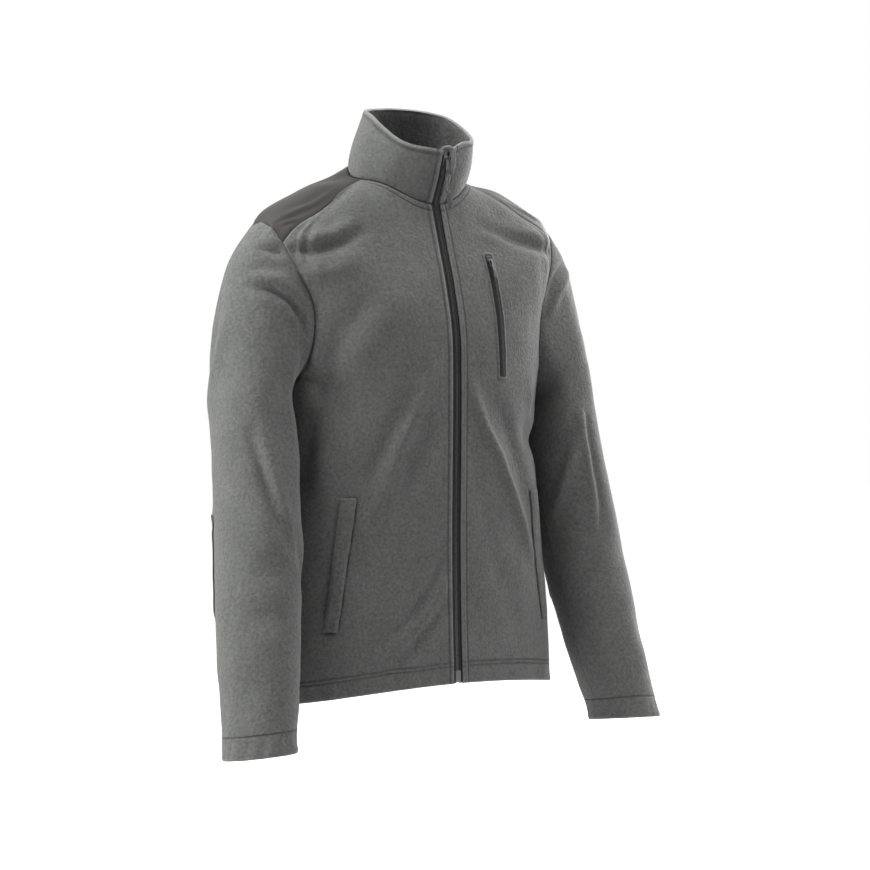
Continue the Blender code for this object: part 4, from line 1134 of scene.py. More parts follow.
for side in ("left", "right"):
    mesh = PANELS[f"front_{side}"].data
    places = coordinates(mesh)
    to_mouth = distance_to_line(np.stack([np.abs(places[:, 0]), places[:, 2]], axis=1), MOUTH)
    keep_attribute(mesh, "to_mouth", to_mouth)
    print(f"front_{side}: points near the mouth", int((to_mouth < 0.004).sum()))

# %% [markdown]
# ## Lines of stitches
#
# A stitch is a short bead of thread, 2 mm long, that sinks into the cloth at both ends. One is
# modelled and its mesh repeated along each seam line, at a pitch of 3 mm. The lines come from the
# distance attributes: a line of stitches lies where the distance to an edge has one set value.

# %% Finding a line on a surface and setting pieces along it
def attribute_values(mesh, name):
    """The numbers kept on the mesh under this name."""
    values = np.empty(len(mesh.vertices), dtype=np.float32)
    mesh.attributes[name].data.foreach_get("value", values)
    return values.astype(float)


def lines_where(mesh, name, value):
    """Chains of points, each with the surface's normal, along which the attribute has a value."""
    field = attribute_values(mesh, name) - value
    places, normals = coordinates(mesh), normals_of(mesh)
    ends = np.empty(len(mesh.edges) * 2, dtype=np.int64)
    mesh.edges.foreach_get("vertices", ends)
    first, second = ends.reshape(-1, 2).T
    crossed = (field[first] < 0) != (field[second] < 0)
    share = np.zeros(len(first))
    share[crossed] = (field[first] / (field[first] - field[second] + 1e-12))[crossed]
    beside = {}
    for polygon in mesh.polygons:
        cuts = [mesh.loops[loop].edge_index for loop in polygon.loop_indices
                if crossed[mesh.loops[loop].edge_index]]
        if len(cuts) == 2:
            beside.setdefault(cuts[0], []).append(cuts[1])
            beside.setdefault(cuts[1], []).append(cuts[0])
    chains, used = [], set()
    starts = sorted(beside, key=lambda edge: (len(beside[edge]) != 1, edge))
    for start in starts:
        if start in used:
            continue
        chain, edge = [], start
        while edge is not None:
            used.add(edge)
            chain.append(edge)
            edge = next((other for other in beside[edge] if other not in used), None)
        if len(chain) > 3:
            on = np.array(chain)
            mixing = share[on][:, None]
            points = places[first[on]] * (1 - mixing) + places[second[on]] * mixing
            ups = normals[first[on]] * (1 - mixing) + normals[second[on]] * mixing
            chains.append((points, unit(ups)))
    return chains


def kept_parts(chains, allowed):
    """The runs of each chain whose points pass the test."""
    parts = []
    for points, ups in chains:
        good = allowed(points)
        start = 0
        for index in range(1, len(points) + 1):
            if index == len(points) or good[index] != good[start]:
                if good[start] and index - start > 3:
                    parts.append((points[start:index], ups[start:index]))
                start = index
    return parts


def frames_along(points, ups, pitch):
    """Evenly spaced centres on a chain, with their directions along, across and out."""
    runs = np.concatenate(([0], np.cumsum(np.linalg.norm(np.diff(points, axis=0), axis=1))))
    count = max(1, int(runs[-1] / pitch))
    at = (np.arange(count) + 0.5) * runs[-1] / count

    def sampled(values, where):
        return np.stack([np.interp(where, runs, values[:, axis]) for axis in range(3)], axis=1)

    centres, out = sampled(points, at), sampled(ups, at)
    along = sampled(points, at + 0.4 * pitch) - sampled(points, at - 0.4 * pitch)
    along /= np.linalg.norm(along, axis=1)[:, None] + 1e-12
    across = np.cross(out, along)
    across /= np.linalg.norm(across, axis=1)[:, None] + 1e-12
    return centres, along, across, np.cross(along, across)


def repeated(name, template, frames, material):
    """One mesh with a copy of the template at every frame: X along, Y across, Z out."""
    shape = coordinates(template)
    faces = [tuple(face.vertices) for face in template.polygons]
    centres, along, across, out = frames
    places = (centres[:, None] + shape[None, :, 0, None] * along[:, None]
              + shape[None, :, 1, None] * across[:, None] + shape[None, :, 2, None] * out[:, None])
    step_over = len(shape)
    mesh = bpy.data.meshes.new(name)
    mesh.from_pydata(places.reshape(-1, 3).tolist(), [],
                     [tuple(v + i * step_over for v in face) for i in range(len(centres)) for face in faces])
    mesh.polygons.foreach_set("use_smooth", [True] * len(mesh.polygons))
    mesh.materials.append(material)
    piece = bpy.data.objects.new(name, mesh)
    bpy.context.scene.collection.objects.link(piece)
    print(f"{name}: {len(centres)} copies, {len(faces)} faces each")
    return piece


def joined_frames(frames):
    """Several runs of frames as one."""
    return tuple(np.concatenate(part) for part in zip(*frames))


# %% [markdown]
# The bead is a sphere of few faces, drawn out along the seam and flattened, with its ends bent
# down into the cloth.

# %% The stitch, and the lines that are sewn
def drawn_out_sphere(segments, rotation, half_sizes):
    """The mesh of a sphere of few faces, its poles turned first, then drawn out to these half sizes."""
    select_none()
    bpy.ops.mesh.primitive_uv_sphere_add(segments=segments, ring_count=5, radius=1, location=(0, 0, 0),
                                         rotation=rotation)
    sphere = bpy.context.active_object
    bpy.ops.object.transform_apply(location=False, rotation=True, scale=False)
    bpy.ops.object.mode_set(mode="EDIT")
    bpy.ops.transform.resize(value=half_sizes)
    bpy.ops.object.mode_set(mode="OBJECT")
    mesh = sphere.data.copy()
    bpy.data.objects.remove(sphere)
    return mesh


STITCH = drawn_out_sphere(6, (0, math.pi / 2, 0), (0.00112, 0.00030, 0.00024))
stitch_places = coordinates(STITCH)
STITCH_LIFT = 0.00012
STITCH_BEND = 0.15 / math.sqrt(0.0011)  # its ends dip by this times their distance to the power 1.5
stitch_places[:, 2] += STITCH_LIFT - STITCH_BEND * np.abs(stitch_places[:, 0]) ** 1.5
set_coordinates(STITCH, stitch_places)
STITCH_PITCH = 0.0030

SEWN = {  # node: (attribute, value, how far from the zip's edge and from the collar it stays)
    "back": [("to_hem", HEM_LINES[0], 0.0), ("to_hem", HEM_LINES[1], 0.0), ("neck_line", 1.0, 0.0)],
    "front_left": [("to_hem", HEM_LINES[0], 0.012), ("to_hem", HEM_LINES[1], 0.012),
                   ("to_zip", ZIP_LINE, 0.0), ("neck_line", 1.0, 0.0125)],
    "sleeve_left": [("to_hem", CUFF_LINE, 0.0)],
    "collar": [("to_rim", COLLAR_RIM_LINE, 0.0130), ("to_zip", COLLAR_ZIP_LINE, 0.0)],
    "elbow_patch_left": [("to_rim", 0.0026, 0.0)],
}
SEWN.update({node.replace("left", "right"): lines for node, lines in list(SEWN.items())})
for node, lines in SEWN.items():
    mesh = PANELS[node].data
    frames = []
    for name, value, aside in lines:
        chains = kept_parts(lines_where(mesh, name, value),
                            lambda points: (np.abs(points[:, 0]) > aside) | (points[:, 1] > 0))
        frames += [frames_along(points, ups, STITCH_PITCH) for points, ups in chains
                   if np.linalg.norm(np.diff(points, axis=0), axis=1).sum() > 0.012]
    stitching = repeated(f"stitching_{node}", STITCH, joined_frames(frames), THREAD)
    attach(stitching, "jacket")

# %% [markdown]
# ## The line of the front zip
#
# The zip runs up the middle between the two turned edges. Its line is halfway between them, and
# "out" is square to it, so the tapes and the teeth follow the curve of the chest.

# %% The front zip's line
def zip_edge(node):
    """The points of a panel's zip edge, from the hem upwards."""
    mesh = PANELS[node].data
    on = coordinates(mesh)[attribute_values(mesh, "to_zip") < 1e-6]
    return on[np.argsort(on[:, 2])]


def joined_edge(side):
    """One side's edge along the zip, up the front and on up the collar."""
    lower, upper = zip_edge(f"front_{side}"), zip_edge("collar")
    upper = upper[np.sign(upper[:, 0]) == (1 if side == "left" else -1)]
    return np.concatenate((lower[:-1], upper[1:]))


LEFT_EDGE, RIGHT_EDGE = joined_edge("left"), joined_edge("right")
heights = np.arange(LEFT_EDGE[:, 2].min() + 0.0006, LEFT_EDGE[:, 2].max() - 0.0005, 0.003)
depth_at = [np.interp(heights, edge[:, 2], edge[:, 1]) for edge in (LEFT_EDGE, RIGHT_EDGE)]
middle = (depth_at[0] + depth_at[1]) / 2
middle = np.convolve(np.pad(middle, 2, mode="edge"), np.ones(5) / 5, mode="valid")
ZIP_POINTS = np.stack([np.zeros(len(heights)), middle, heights], axis=1)
steps = np.gradient(ZIP_POINTS, axis=0)
ZIP_OUTS = unit(np.stack([np.zeros(len(heights)), -steps[:, 2], steps[:, 1]], axis=1))
NECK_HEIGHT = float(zip_edge("front_left")[-1, 2])
print("the zip is", round(float(np.linalg.norm(np.diff(ZIP_POINTS, axis=0), axis=1).sum()), 4), "m long")

# %% [markdown]
# ## The tapes
#
# Each tape is a strip of fine weave, sewn behind the fleece's edge, with the coil sewn to its
# inner edge. Below the neck it reaches 14 mm under the front. In the collar its edge lies between
# the two layers, where nothing shows, so it is cut narrow there.

# %% Zip tapes
def strip_of(name, columns, thickness, material):
    """A sheet through columns of points, all of one length, with a wall."""
    rows = len(columns[0])
    mesh = bpy.data.meshes.new(name)
    mesh.from_pydata(np.concatenate(columns).tolist(), [],
                     [(c * rows + r, (c + 1) * rows + r, (c + 1) * rows + r + 1, c * rows + r + 1)
                      for c in range(len(columns) - 1) for r in range(rows - 1)])
    mesh.polygons.foreach_set("use_smooth", [True] * len(mesh.polygons))
    mesh.materials.append(material)
    piece = bpy.data.objects.new(name, mesh)
    bpy.context.scene.collection.objects.link(piece)
    wall = piece.modifiers.new("wall", "SOLIDIFY")
    wall.thickness = thickness
    wall.offset = 0
    make_active(piece)
    bpy.ops.object.modifier_apply(modifier=wall.name)
    return piece


def aside_of_zip(across, depth):
    """The zip's line moved sideways and back, with one value or one for each point."""
    return ZIP_POINTS + np.stack([np.broadcast_to(across, len(heights)), np.zeros(len(heights)),
                                  np.zeros(len(heights))], axis=1) - ZIP_OUTS * np.reshape(depth, (-1, 1))


in_collar = step(ZIP_POINTS[:, 2], NECK_HEIGHT - 0.006, NECK_HEIGHT + 0.001)
TAPE_REACH = 0.0142 * (1 - in_collar) + 0.0052 * in_collar
ZIP_TAPES = []
for side, sign in (("left", 1), ("right", -1)):
    columns = []
    for share, depth in ((0.0, 0.0026), (0.25, 0.0024), (0.6, 0.0027), (1.0, 0.0028)):
        columns.append(aside_of_zip(sign * (0.0021 + share * (TAPE_REACH - 0.0021)), depth)[:-1])
    tape = strip_of(f"tape_{side}", columns if sign > 0 else columns[::-1], 0.0007, TAPE)
    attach(tape, "jacket")
    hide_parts(f"zip_tape_{side}")
    ZIP_TAPES.append(tape)

# %% [markdown]
# ## The coil
#
# The teeth of a coil zip are one nylon thread wound into loops. From the front each loop shows as
# a small rounded bar with a thicker head that hooks between its neighbours. One bar is modelled,
# and it is repeated every 1.5 mm on each side, the two sides half a pitch apart. Above the slider
# the two rows stand apart.

# %% Coil teeth
TOOTH = drawn_out_sphere(8, (math.pi / 2, 0, 0), (0.00040, 0.00185, 0.00085))
tooth_places = coordinates(TOOTH)
tooth_places[:, 0] *= 1 + 0.35 * step(-tooth_places[:, 1], 0.0002, 0.0014)
set_coordinates(TOOTH, tooth_places)
TOOTH_PITCH = 0.0015
SLIDER_LOW, SLIDER_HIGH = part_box("zip_slider")
BOX_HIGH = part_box("zip_box")[1]


def tooth_rows(points, outs, pitch, spread):
    """Frames for both rows of teeth along a line; `spread` gives how far apart the rows stand."""
    both = []
    for sign in (1, -1):
        centres, along, across, out = frames_along(points, outs, pitch)
        centres = centres + along * pitch * 0.25 * sign
        across = -across * sign if across[0, 0] > 0 else across * sign
        gap = 0.00105 + spread(centres)
        both.append((centres + across * gap[:, None], along, across, out))
    return joined_frames(both)


def zip_spread(centres):
    """How far the rows of teeth have parted, above the slider."""
    return 0.0024 * step(centres[:, 2], SLIDER_LOW.z + 0.004, SLIDER_HIGH.z + 0.004)


run = (ZIP_POINTS[:, 2] > BOX_HIGH.z - 0.001) & (ZIP_POINTS[:, 2] < ZIP_POINTS[-1, 2] - 0.004)
coil = repeated("zip_coil_teeth", TOOTH,
                tooth_rows(ZIP_POINTS[run] - ZIP_OUTS[run] * 0.0019, ZIP_OUTS[run], TOOTH_PITCH, zip_spread),
                COIL)
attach(coil, "jacket")
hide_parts("zip_chain")

# %% [markdown]
# ## Hard parts and their shaping
#
# The box at the bottom and the pulls are small solid parts. Each starts as a primitive of its own
# size, which gets its form from insets, bevels and a subdivision.

# %% Helpers for hard parts
def block(name, size, centre, bevel, material, segments=3, shaping=None):
    """A box of this size, rounded on all its edges; `shaping` moves its points before that."""
    select_none()
    bpy.ops.mesh.primitive_cube_add(size=1, location=(0, 0, 0))
    piece = bpy.context.active_object
    piece.name = name
    bpy.ops.object.mode_set(mode="EDIT")
    bpy.ops.transform.resize(value=size)
    bpy.ops.mesh.subdivide(number_cuts=3)
    bpy.ops.object.mode_set(mode="OBJECT")
    if shaping:
        set_coordinates(piece.data, shaping(coordinates(piece.data)))
    rounding = piece.modifiers.new("rounding", "BEVEL")
    rounding.width = bevel
    rounding.segments = segments
    rounding.limit_method = "ANGLE"
    rounding.angle_limit = math.radians(50)
    make_active(piece)
    bpy.ops.object.modifier_apply(modifier=rounding.name)
    bpy.ops.object.shade_smooth_by_angle(angle=math.radians(40))
    piece.data.transform(Matrix.Translation(centre))
    piece.data.materials.append(material)
    return piece


def framed(centre, up, out):
    """The matrix of a frame with Y up along a zip and Z out of the cloth."""
    across = up.cross(out).normalized()
    matrix = Matrix((across, up.normalized(), out.normalized())).transposed().to_4x4()
    return Matrix.Translation(centre) @ matrix


def plate_with_hole(name, width, length, thickness, hole_at, material):
    """A flat puller plate in the XY plane, hanging down from Y = 0, with an eye near its end."""
    select_none()
    bpy.ops.mesh.primitive_grid_add(x_subdivisions=3, y_subdivisions=9, size=1, location=(0, 0, 0))
    piece = bpy.context.active_object
    piece.name = name
    bpy.ops.object.mode_set(mode="EDIT")
    bpy.ops.transform.resize(value=(width, length, 1))
    bpy.ops.transform.translate(value=(0, -length / 2, 0))
    bpy.ops.mesh.select_all(action="DESELECT")
    bpy.ops.object.mode_set(mode="OBJECT")
    for face in piece.data.polygons:
        face.select = abs(face.center.x) < width / 6 and abs(face.center.y + hole_at) < length / 18 + 1e-6
    bpy.ops.object.mode_set(mode="EDIT")
    bpy.ops.mesh.inset(thickness=width * 0.03, depth=0)
    bpy.ops.mesh.delete(type="FACE")
    bpy.ops.object.mode_set(mode="OBJECT")
    for kind, name_of, facts in (
        ("SOLIDIFY", "thickness", {"thickness": thickness, "offset": 0}),
        ("BEVEL", "rounding", {"width": thickness * 0.25, "segments": 2, "limit_method": "ANGLE"}),
        ("SUBSURF", "smoothing", {"levels": 2, "render_levels": 2}),
    ):
        modifier = piece.modifiers.new(name_of, kind)
        for fact, value in facts.items():
            setattr(modifier, fact, value)
        make_active(piece)
        bpy.ops.object.modifier_apply(modifier=modifier.name)
    bpy.ops.object.shade_smooth()
    piece.data.materials.append(material)
    return piece


def tube(name, points, radius, material, closed=False, sides=3):
    """A round cord along a smooth line of points."""
    curve = bpy.data.curves.new(name, "CURVE")
    curve.dimensions = "3D"
    curve.bevel_depth = radius
    curve.bevel_resolution = sides
    curve.resolution_u = 6
    spline = curve.splines.new("BEZIER")
    spline.bezier_points.add(len(points) - 1)
    for knot, place in zip(spline.bezier_points, points):
        knot.co = place
        knot.handle_left_type = knot.handle_right_type = "AUTO"
    spline.use_cyclic_u = closed
    curve.use_fill_caps = not closed
    piece = bpy.data.objects.new(name, curve)
    bpy.context.scene.collection.objects.link(piece)
    make_active(piece)
    bpy.ops.object.convert(target="MESH")
    piece = bpy.context.active_object
    bpy.ops.object.shade_smooth()
    piece.data.materials.clear()
    piece.data.materials.append(material)
    return piece


def moved_to(piece, matrix, body):
    """Moves a small part into place and lets it ride on its body."""
    piece.data.transform(matrix)
    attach(piece, body)
    return piece


# %% [markdown]
# ## The bottom box
#
# The pin of the right half slides into this box and is held square in it.

# %% Bottom box
low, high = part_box("zip_box")
size = high - low
box = block("bottom_box", (size.x * 0.96, size.y * 0.9, size.z * 0.97), (low + high) / 2, 0.0009, LACQUER)
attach(box, "jacket")
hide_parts("zip_box")

# %% [markdown]
# ## The front zip's pull
#
# A small steel plate hangs from the slider. A loop of cord goes through its eye and down into a
# moulded tab, which gives the fingers something to hold. All three swing together on the slider's
# pin, where the joint's axis is, so they ride on the pull's own body.

# %% Front pull
pull_low, pull_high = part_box("zip_pull")
PIN = Vector(((pull_low.x + pull_high.x) / 2, *JOINTS["main_pull_hinge"]["pos_m"][1:]))
PLATE_LENGTH = 0.0150
EYE_DROP = 0.0128
TAB_TOP = PIN.z - 0.0385
TAB_END = pull_low.z
hang = Matrix.Translation(PIN + Vector((0, -0.0002, 0.0009))) @ Matrix.Rotation(math.pi / 2, 4, "X")
plate = plate_with_hole("pull_plate", 0.0046, PLATE_LENGTH, 0.0011, EYE_DROP - 0.0009, STEEL)
moved_to(plate, hang, "main_pull")

eye = PIN.z - EYE_DROP + 0.0009
loop = [(0.0, PIN.y - 0.0012, eye - 0.0002), (0.0011, PIN.y - 0.0009, eye - 0.0040),
        (0.0013, PIN.y - 0.0004, (eye + TAB_TOP) / 2), (0.0009, PIN.y, TAB_TOP - 0.002),
        (-0.0009, PIN.y, TAB_TOP - 0.002), (-0.0012, PIN.y + 0.0004, (eye + TAB_TOP) / 2),
        (-0.0010, PIN.y + 0.0008, eye - 0.0040), (0.0, PIN.y + 0.0010, eye - 0.0002)]
cord = tube("pull_cord", loop, 0.00055, RUBBER, closed=True)
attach(cord, "main_pull")


def leaning(places):
    """The tab hangs a little aslant, its tip towards the wearer's left."""
    places[:, 0] += 0.20 * ((TAB_TOP - TAB_END) / 2 - places[:, 2])
    return places


def tab_shape(places):
    """Narrower and thinner towards the top, with a waist and a full lower end."""
    share = (places[:, 2] - places[:, 2].min()) / np.ptp(places[:, 2])
    across = 1 - 0.34 * step(share, 0.35, 1.0)
    places[:, 0] *= across
    places[:, 1] *= (1 - 0.30 * step(share, 0.5, 1.0)) * (1 - 0.35 * np.abs(places[:, 0]) / 0.0033)
    return leaning(places)


tab = block("pull_tab_grip", (0.0064, 0.0040, TAB_TOP - TAB_END),
            Vector((PIN.x, PIN.y, (TAB_TOP + TAB_END) / 2)), 0.0010, RUBBER, shaping=tab_shape)
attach(tab, "main_pull")
insert = block("pull_tab_edge", (0.0011, 0.0028, (TAB_TOP - TAB_END) * 0.62),
               Vector((PIN.x + 0.0027, PIN.y - 0.0004, (TAB_TOP + TAB_END) / 2 + 0.0002)), 0.0004, STEEL,
               shaping=leaning)
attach(insert, "main_pull")
for item in (plate, cord, tab, insert):
    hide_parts("zip_pull")
print("the pull is", round((PIN.z - TAB_END) * 1000, 1), "mm from pin to tip")

# %% [markdown]
# ## The chest pocket's zip
#
# A zip set into a slit in the left front. The slit's edges are rolled in and topstitched round
# it, so a soft lip of fleece stands on both sides of a dark tape. Every part is laid on the
# finished front panel: a ray from in front of it finds the cloth's place at each step.

# %% The chest zip's line on the cloth
CHEST_TOP = (0.0700, -0.1130)
CHEST_END = (0.0770, -0.2710)
CHEST_HALF = 0.0053


def cloth_at(x, z):
    """The place and the outward direction of the left front's face at this x and z."""
    place, normal, _, _ = SURFACES["front_left"].ray_cast(Vector((x, -0.4, z)), Vector((0, 1, 0)))
    return place, normal if normal.y < 0 else -normal


def chest_line(extra=0.0, count=64):
    """Points and outward directions down the chest zip, `extra` longer at both ends."""
    points, outs = [], []
    for share in np.linspace(0, 1, count):
        z = CHEST_TOP[1] + extra + share * (CHEST_END[1] - CHEST_TOP[1] - 2 * extra)
        along = (z - CHEST_TOP[1]) / (CHEST_END[1] - CHEST_TOP[1])
        place, normal = cloth_at(CHEST_TOP[0] + along * (CHEST_END[0] - CHEST_TOP[0]), z)
        points.append(place)
        outs.append(normal)
    kernel = np.ones(9) / 9
    padded = [np.pad(column, 4, mode="edge") for column in np.array(outs).T]
    evened = [np.convolve(column, kernel, mode="valid") for column in padded]
    return np.array(points), unit(np.stack(evened, axis=1))


def across_line(points, outs):
    """The direction across a line on the cloth, towards the wearer's left."""
    across = unit(np.cross(unit(np.gradient(points, axis=0)), outs))
    return across * np.sign(across[0, 0])


chest_points, chest_outs = chest_line()
chest_across = across_line(chest_points, chest_outs)
print("chest zip:", round(float(np.linalg.norm(np.diff(chest_points, axis=0), axis=1).sum()), 4), "m long")

# %% [markdown]
# The tape is flat across the middle. The lip is a loop of padded fleece round it, a flattened
# tube, wide at the sides and pinched at the ends where the bar tacks pull it together.

# %% Chest tape, teeth and lip
TAPE_SECTION = (  # across from its middle line, and height off the cloth
    (-CHEST_HALF, 0.0004), (-0.0030, 0.0009), (0.0, 0.0010), (0.0030, 0.0009), (CHEST_HALF, 0.0004),
)
columns = [chest_points + chest_across * across + chest_outs * lift for across, lift in TAPE_SECTION]
chest_tape = strip_of("chest_tape", columns[::-1], 0.0006, TAPE)
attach(chest_tape, "jacket")
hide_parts("chest_zip_tape")

chest_coil = repeated(
    "chest_coil_teeth", TOOTH,
    tooth_rows(chest_points[3:-1] + chest_outs[3:-1] * 0.0014, chest_outs[3:-1], TOOTH_PITCH,
               lambda centres: np.zeros(len(centres))),
    FINE_COIL)
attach(chest_coil, "jacket")
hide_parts("chest_zip_chain")


def lip_loop(half, lift, extra):
    """A closed ring of points round the chest zip, `half` from its middle line."""
    points, outs = chest_line(extra, 48)
    across = across_line(points, outs)
    left = points + across * half + outs * lift
    right = points - across * half + outs * lift
    return np.concatenate((left, right[::-1]))


# to_edge here sets how much painted highlight each ring of the lip takes
LIP_RINGS = (  # half width, height off the cloth, and what the finish reads as to_edge and to_rim
    (0.0054, 0.0006, 0.0020, 0.0), (0.0058, 0.0013, 0.0024, 0.001), (0.0070, 0.0015, 0.0040, 0.0025),
    (0.0086, 0.0009, 0.0200, 0.0042), (0.0100, -0.0002, 0.0300, 0.006),
)
loops = [lip_loop(half, lift, half - CHEST_HALF + 0.0008) for half, lift, _, _ in LIP_RINGS]
count = len(loops[0])
faces = []
for inner in range(0, (len(loops) - 1) * count, count):
    outer = inner + count
    for i in range(count):
        after = (i + 1) % count
        faces.append((inner + i, inner + after, outer + after, outer + i))
mesh = bpy.data.meshes.new("chest_lip")
mesh.from_pydata(np.concatenate(loops).tolist(), [], faces)
lip = bpy.data.objects.new("chest_lip", mesh)
bpy.context.scene.collection.objects.link(lip)
keep_attribute(mesh, "to_edge", np.repeat([ring[2] for ring in LIP_RINGS], count))
keep_attribute(mesh, "to_rim", np.repeat([ring[3] for ring in LIP_RINGS], count))
mesh.materials.append(FLEECE_TRIM)
make_active(lip)
bpy.ops.object.mode_set(mode="EDIT")
bpy.ops.mesh.select_all(action="SELECT")
bpy.ops.mesh.normals_make_consistent(inside=False)
bpy.ops.object.mode_set(mode="OBJECT")
wall = lip.modifiers.new("wall", "SOLIDIFY")
wall.thickness = 0.0008
wall.offset = -1
smoothing = subdivided(lip, 2, "smoothing")
make_active(lip)
for modifier in (wall, smoothing):
    bpy.ops.object.modifier_apply(modifier=modifier.name)
bpy.ops.object.shade_smooth()
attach(lip, "jacket")

# %% [markdown]
# The chest slider's pull is a small plate with a moulded grip, lying along the zip.

# %% Chest pull
CHEST_LEAN = 18.041  # how far the zip leans back with the chest, in degrees round the pin
chest_axis = Vector(JOINTS["chest_pull_hinge"]["axis"]).normalized()
CHEST_UP = Vector((0, 0, 1)) - chest_axis * chest_axis.z
CHEST_UP = Matrix.Rotation(math.radians(CHEST_LEAN), 3, chest_axis) @ CHEST_UP.normalized()
chest_frame = framed(Vector(JOINTS["chest_pull_hinge"]["pos_m"]), CHEST_UP, CHEST_UP.cross(chest_axis))
grip_low, grip_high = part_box("chest_zip_pull")
CHEST_PULL_LENGTH = (grip_high.z - grip_low.z) / CHEST_UP.z - 0.001
print("chest pull length", round(CHEST_PULL_LENGTH * 1000, 1), "mm")
chest_plate = plate_with_hole("chest_pull_plate", 0.0036, CHEST_PULL_LENGTH * 0.62, 0.0008,
                              CHEST_PULL_LENGTH * 0.62 * 0.78, STEEL)
moved_to(chest_plate, chest_frame @ Matrix.Translation((0, 0.0008, 0.0002)), "chest_pull")


def grip_shape(places):
    """Narrower towards the slider."""
    share = (places[:, 1] - places[:, 1].min()) / np.ptp(places[:, 1])
    places[:, 0] *= 1 - 0.35 * step(share, 0.4, 1.0)
    return places


chest_grip = block("chest_pull_grip", (0.0046, CHEST_PULL_LENGTH * 0.48, 0.0018),
                   Vector((0, -CHEST_PULL_LENGTH * 0.75, 0.0002)), 0.0006, RUBBER, shaping=grip_shape)
moved_to(chest_grip, chest_frame, "chest_pull")
for item in (chest_plate, chest_grip):
    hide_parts("chest_zip_pull")

# %% [markdown]
# ## The zip guard
#
# Behind the zip a strip of fleece keeps the teeth off the wearer's chin. At the top it folds over
# the end of the zip and is sewn down beside it, so a soft lump of cloth stands there.

# %% Zip guard
top_place = Vector(ZIP_POINTS[-1])
GUARD_PATH = [
    (-0.0062, 0.0052, -0.0050), (-0.0048, 0.0036, 0.0006), (-0.0006, 0.0016, 0.0030),
    (0.0058, -0.0008, 0.0012), (0.0076, -0.0024, -0.0050), (0.0075, -0.0022, -0.0130),
    (0.0072, -0.0010, -0.0200), (0.0067, 0.0006, -0.0260), (0.0064, 0.0026, -0.0310),
]
guard = tube("zip_guard", [top_place + Vector(place) for place in GUARD_PATH], 0.0031, FLEECE_TRIM, sides=6)
guard_places = coordinates(guard.data)
swell = np.array([solid_noise.noise(Vector(place) * 160) for place in guard_places])
set_coordinates(guard.data, guard_places + normals_of(guard.data) * (0.0007 * swell)[:, None])
# the guard takes a turned edge's painted highlight all over
keep_attribute(guard.data, "to_edge", np.full(len(guard_places), 0.0012))
keep_attribute(guard.data, "to_rim", np.full(len(guard_places), 1.0))
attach(guard, "jacket")

# %% [markdown]
# ## Giving the cloth its wall
#
# Until now every panel was a surface. Distances and lines for the stitches are easiest to take
# from a surface, so the wall comes last. Solidify adds it towards the inside.

# %% Walls
WALL = {"collar": 0.0036, "pocket_welt": 0.0026, "elbow_patch": 0.0012}
for node, piece in PANELS.items():
    kind = node.removesuffix("_left").removesuffix("_right")
    wall_added(piece, WALL.get(kind, 0.0020))
    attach(piece, "jacket")
    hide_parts(node)
    print(f"{piece.name}: {sum(len(face.vertices) - 2 for face in piece.data.polygons)} triangles")

# %% [markdown]
# ## Folds on the inside of the collar
#
# The collar's inner layer is a little longer than the curve that it lies in, so it stands off in
# a few soft upright folds at the back of the neck.

# %% Inner collar folds
COLLAR_FOLDS = [
    # points on the inner layer, half width, height
    ([(27, 27, 72), (26, 25, 30), (25, 24, -10)], 5, 1.6),
    ([(48, 15, 68), (45, 15, 30), (42, 16, -8)], 6, 1.8),
    ([(66, -8, 60), (62, -6, 25), (60, -4, -10)], 6, 1.6),
    ([(-20, 28, 74), (-20, 26, 30), (-21, 25, -6)], 6, 1.4),
    ([(-52, 12, 66), (-48, 13, 28), (-46, 13, -8)], 7, 1.7),
    ([(4, 31, 76), (5, 28, 36), (4, 27, 0)], 7, 1.1),
]
mesh = PANELS["collar"].data
places, normals = coordinates(mesh), normals_of(mesh)
inward = places * (1, 1, 0) - np.array((0, -0.036, 0))
facing_in = np.einsum("ij,ij->i", normals[:, :2], inward[:, :2]) < 0
raised = [(points, half_width, -height, 0.0) for points, half_width, height in COLLAR_FOLDS]
lifts = fold_height(places, normals, raised)
rim_free = step(attribute_values(mesh, "to_rim"), 0.002, 0.014)
set_coordinates(mesh, places + normals * (lifts * facing_in * rim_free)[:, None])
# how much painted shade the inner face takes, growing away from the rim
keep_attribute(mesh, "inside", facing_in * step(attribute_values(mesh, "to_rim"), 0.006, 0.016))
keep_attribute(mesh, "to_rim", np.where(facing_in, 1.0, attribute_values(mesh, "to_rim")))
print("collar points moved inwards:", int((facing_in & (lifts > 0.0002)).sum()))

# %% [markdown]
# ## The sliders
#
# The sliders keep their CAD shapes and get a dark lacquered finish.

# %% Finishes of the CAD parts that stay
for node in ("zip_slider", "chest_zip_slider"):
    mesh = NODES[node].data
    mesh.materials.clear()
    mesh.materials.append(LACQUER)

# %% [markdown]
# ## Light, floor and background
#
# Large soft lamps stand high and low on both sides, one of them rather behind, so the outer edges
# of the sleeves are lit and the space between sleeve and body falls into shade. A weaker lamp stands
# high in front and a faint one hangs above. The jacket hangs over a pale floor. The world is white
# to the camera, and to anything that mirrors it or is seen through, but it hardly lights the cloth.

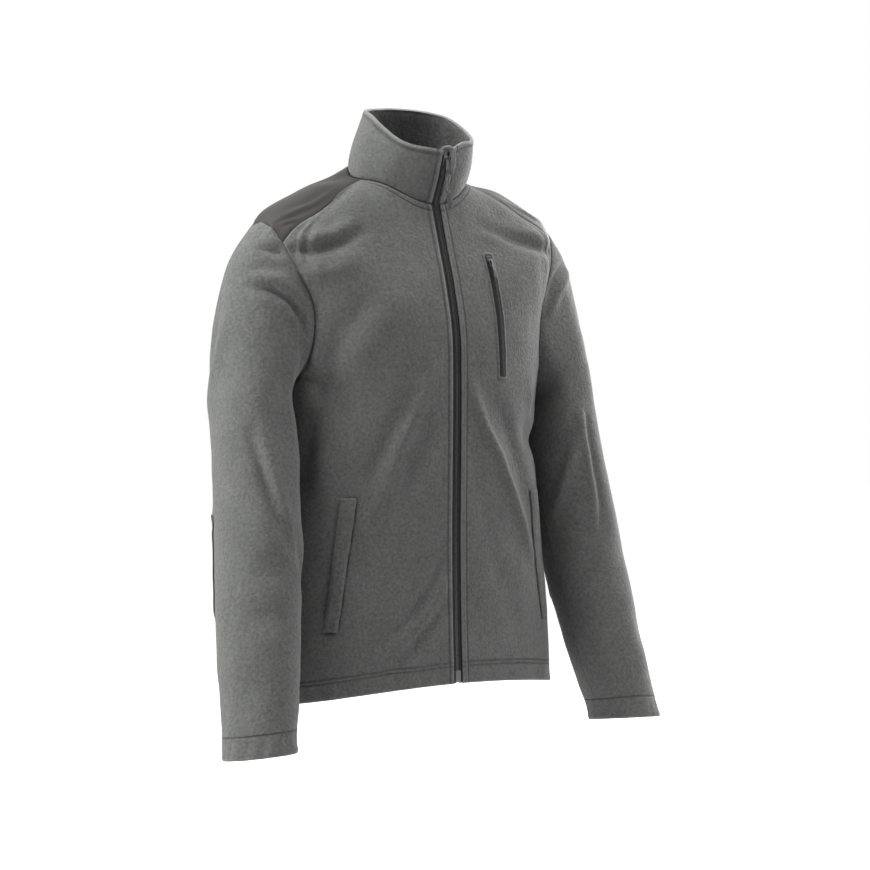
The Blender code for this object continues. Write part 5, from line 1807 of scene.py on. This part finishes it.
# %% World, lamps and floor
world = bpy.data.worlds.new("studio")
bpy.context.scene.world = world
world.use_nodes = True
tree = world.node_tree
background = tree.nodes["Background"]
paths = tree.nodes.new("ShaderNodeLightPath")
seen = maths(tree, "MAXIMUM", paths.outputs["Is Camera Ray"], paths.outputs["Is Glossy Ray"])
seen = maths(tree, "MAXIMUM", seen, paths.outputs["Is Transmission Ray"])
background.inputs["Color"].default_value = (1, 1, 1, 1)
put(background.inputs["Strength"], between_values(tree, seen, 0.0, 1.0, 0.012, 1.0))


def soft_lamp(name, turn, height, reach, size, watts):
    """A square lamp round the jacket at `turn` degrees from its front, looking at its chest."""
    lamp = bpy.data.lights.new(name, "AREA")
    lamp.shape = "SQUARE"
    lamp.size = size
    lamp.energy = watts
    holder = bpy.data.objects.new(name, lamp)
    angle = math.radians(turn)
    holder.location = Vector((reach * math.sin(angle), -reach * math.cos(angle), height))
    middle = Vector((0, 0, -0.32))
    holder.rotation_euler = (middle - holder.location).to_track_quat("-Z", "Y").to_euler()
    bpy.context.scene.collection.objects.link(holder)
    return holder


LAMPS = (  # name, turn from the front in degrees, height, reach, size, watts
    ("lamp_right_high", -90, 1.5, 1.7, 1.2, 42),
    ("lamp_right_behind", -120, 1.5, 1.7, 1.2, 42),
    ("lamp_right_low", -100, 0.0, 2.6, 1.3, 42),
    ("lamp_left_high", 90, 1.5, 1.7, 1.2, 52),
    ("lamp_left_low", 110, 0.1, 2.6, 1.3, 86),
    ("lamp_front", 30, 1.5, 1.7, 1.2, 35),
    ("lamp_above", 0, 2.3, 0.3, 1.2, 14),
)
for lamp in LAMPS:
    soft_lamp(*lamp)

select_none()
bpy.ops.mesh.primitive_grid_add(x_subdivisions=2, y_subdivisions=2, size=16, location=(0, 0, -1.06))
floor = bpy.context.active_object
floor.name = "floor"
floor_material, tree, shader = new_material("pale_floor")
paths = tree.nodes.new("ShaderNodeLightPath")
shader.inputs["Base Color"].default_value = (0.62, 0.62, 0.62, 1)
shader.inputs["Roughness"].default_value = 0.9
shader.inputs["Emission Color"].default_value = (1, 1, 1, 1)
seen = maths(tree, "MAXIMUM", paths.outputs["Is Camera Ray"], paths.outputs["Is Glossy Ray"])
put(shader.inputs["Emission Strength"], maths(tree, "MULTIPLY", seen, 0.93))
floor.data.materials.append(floor_material)
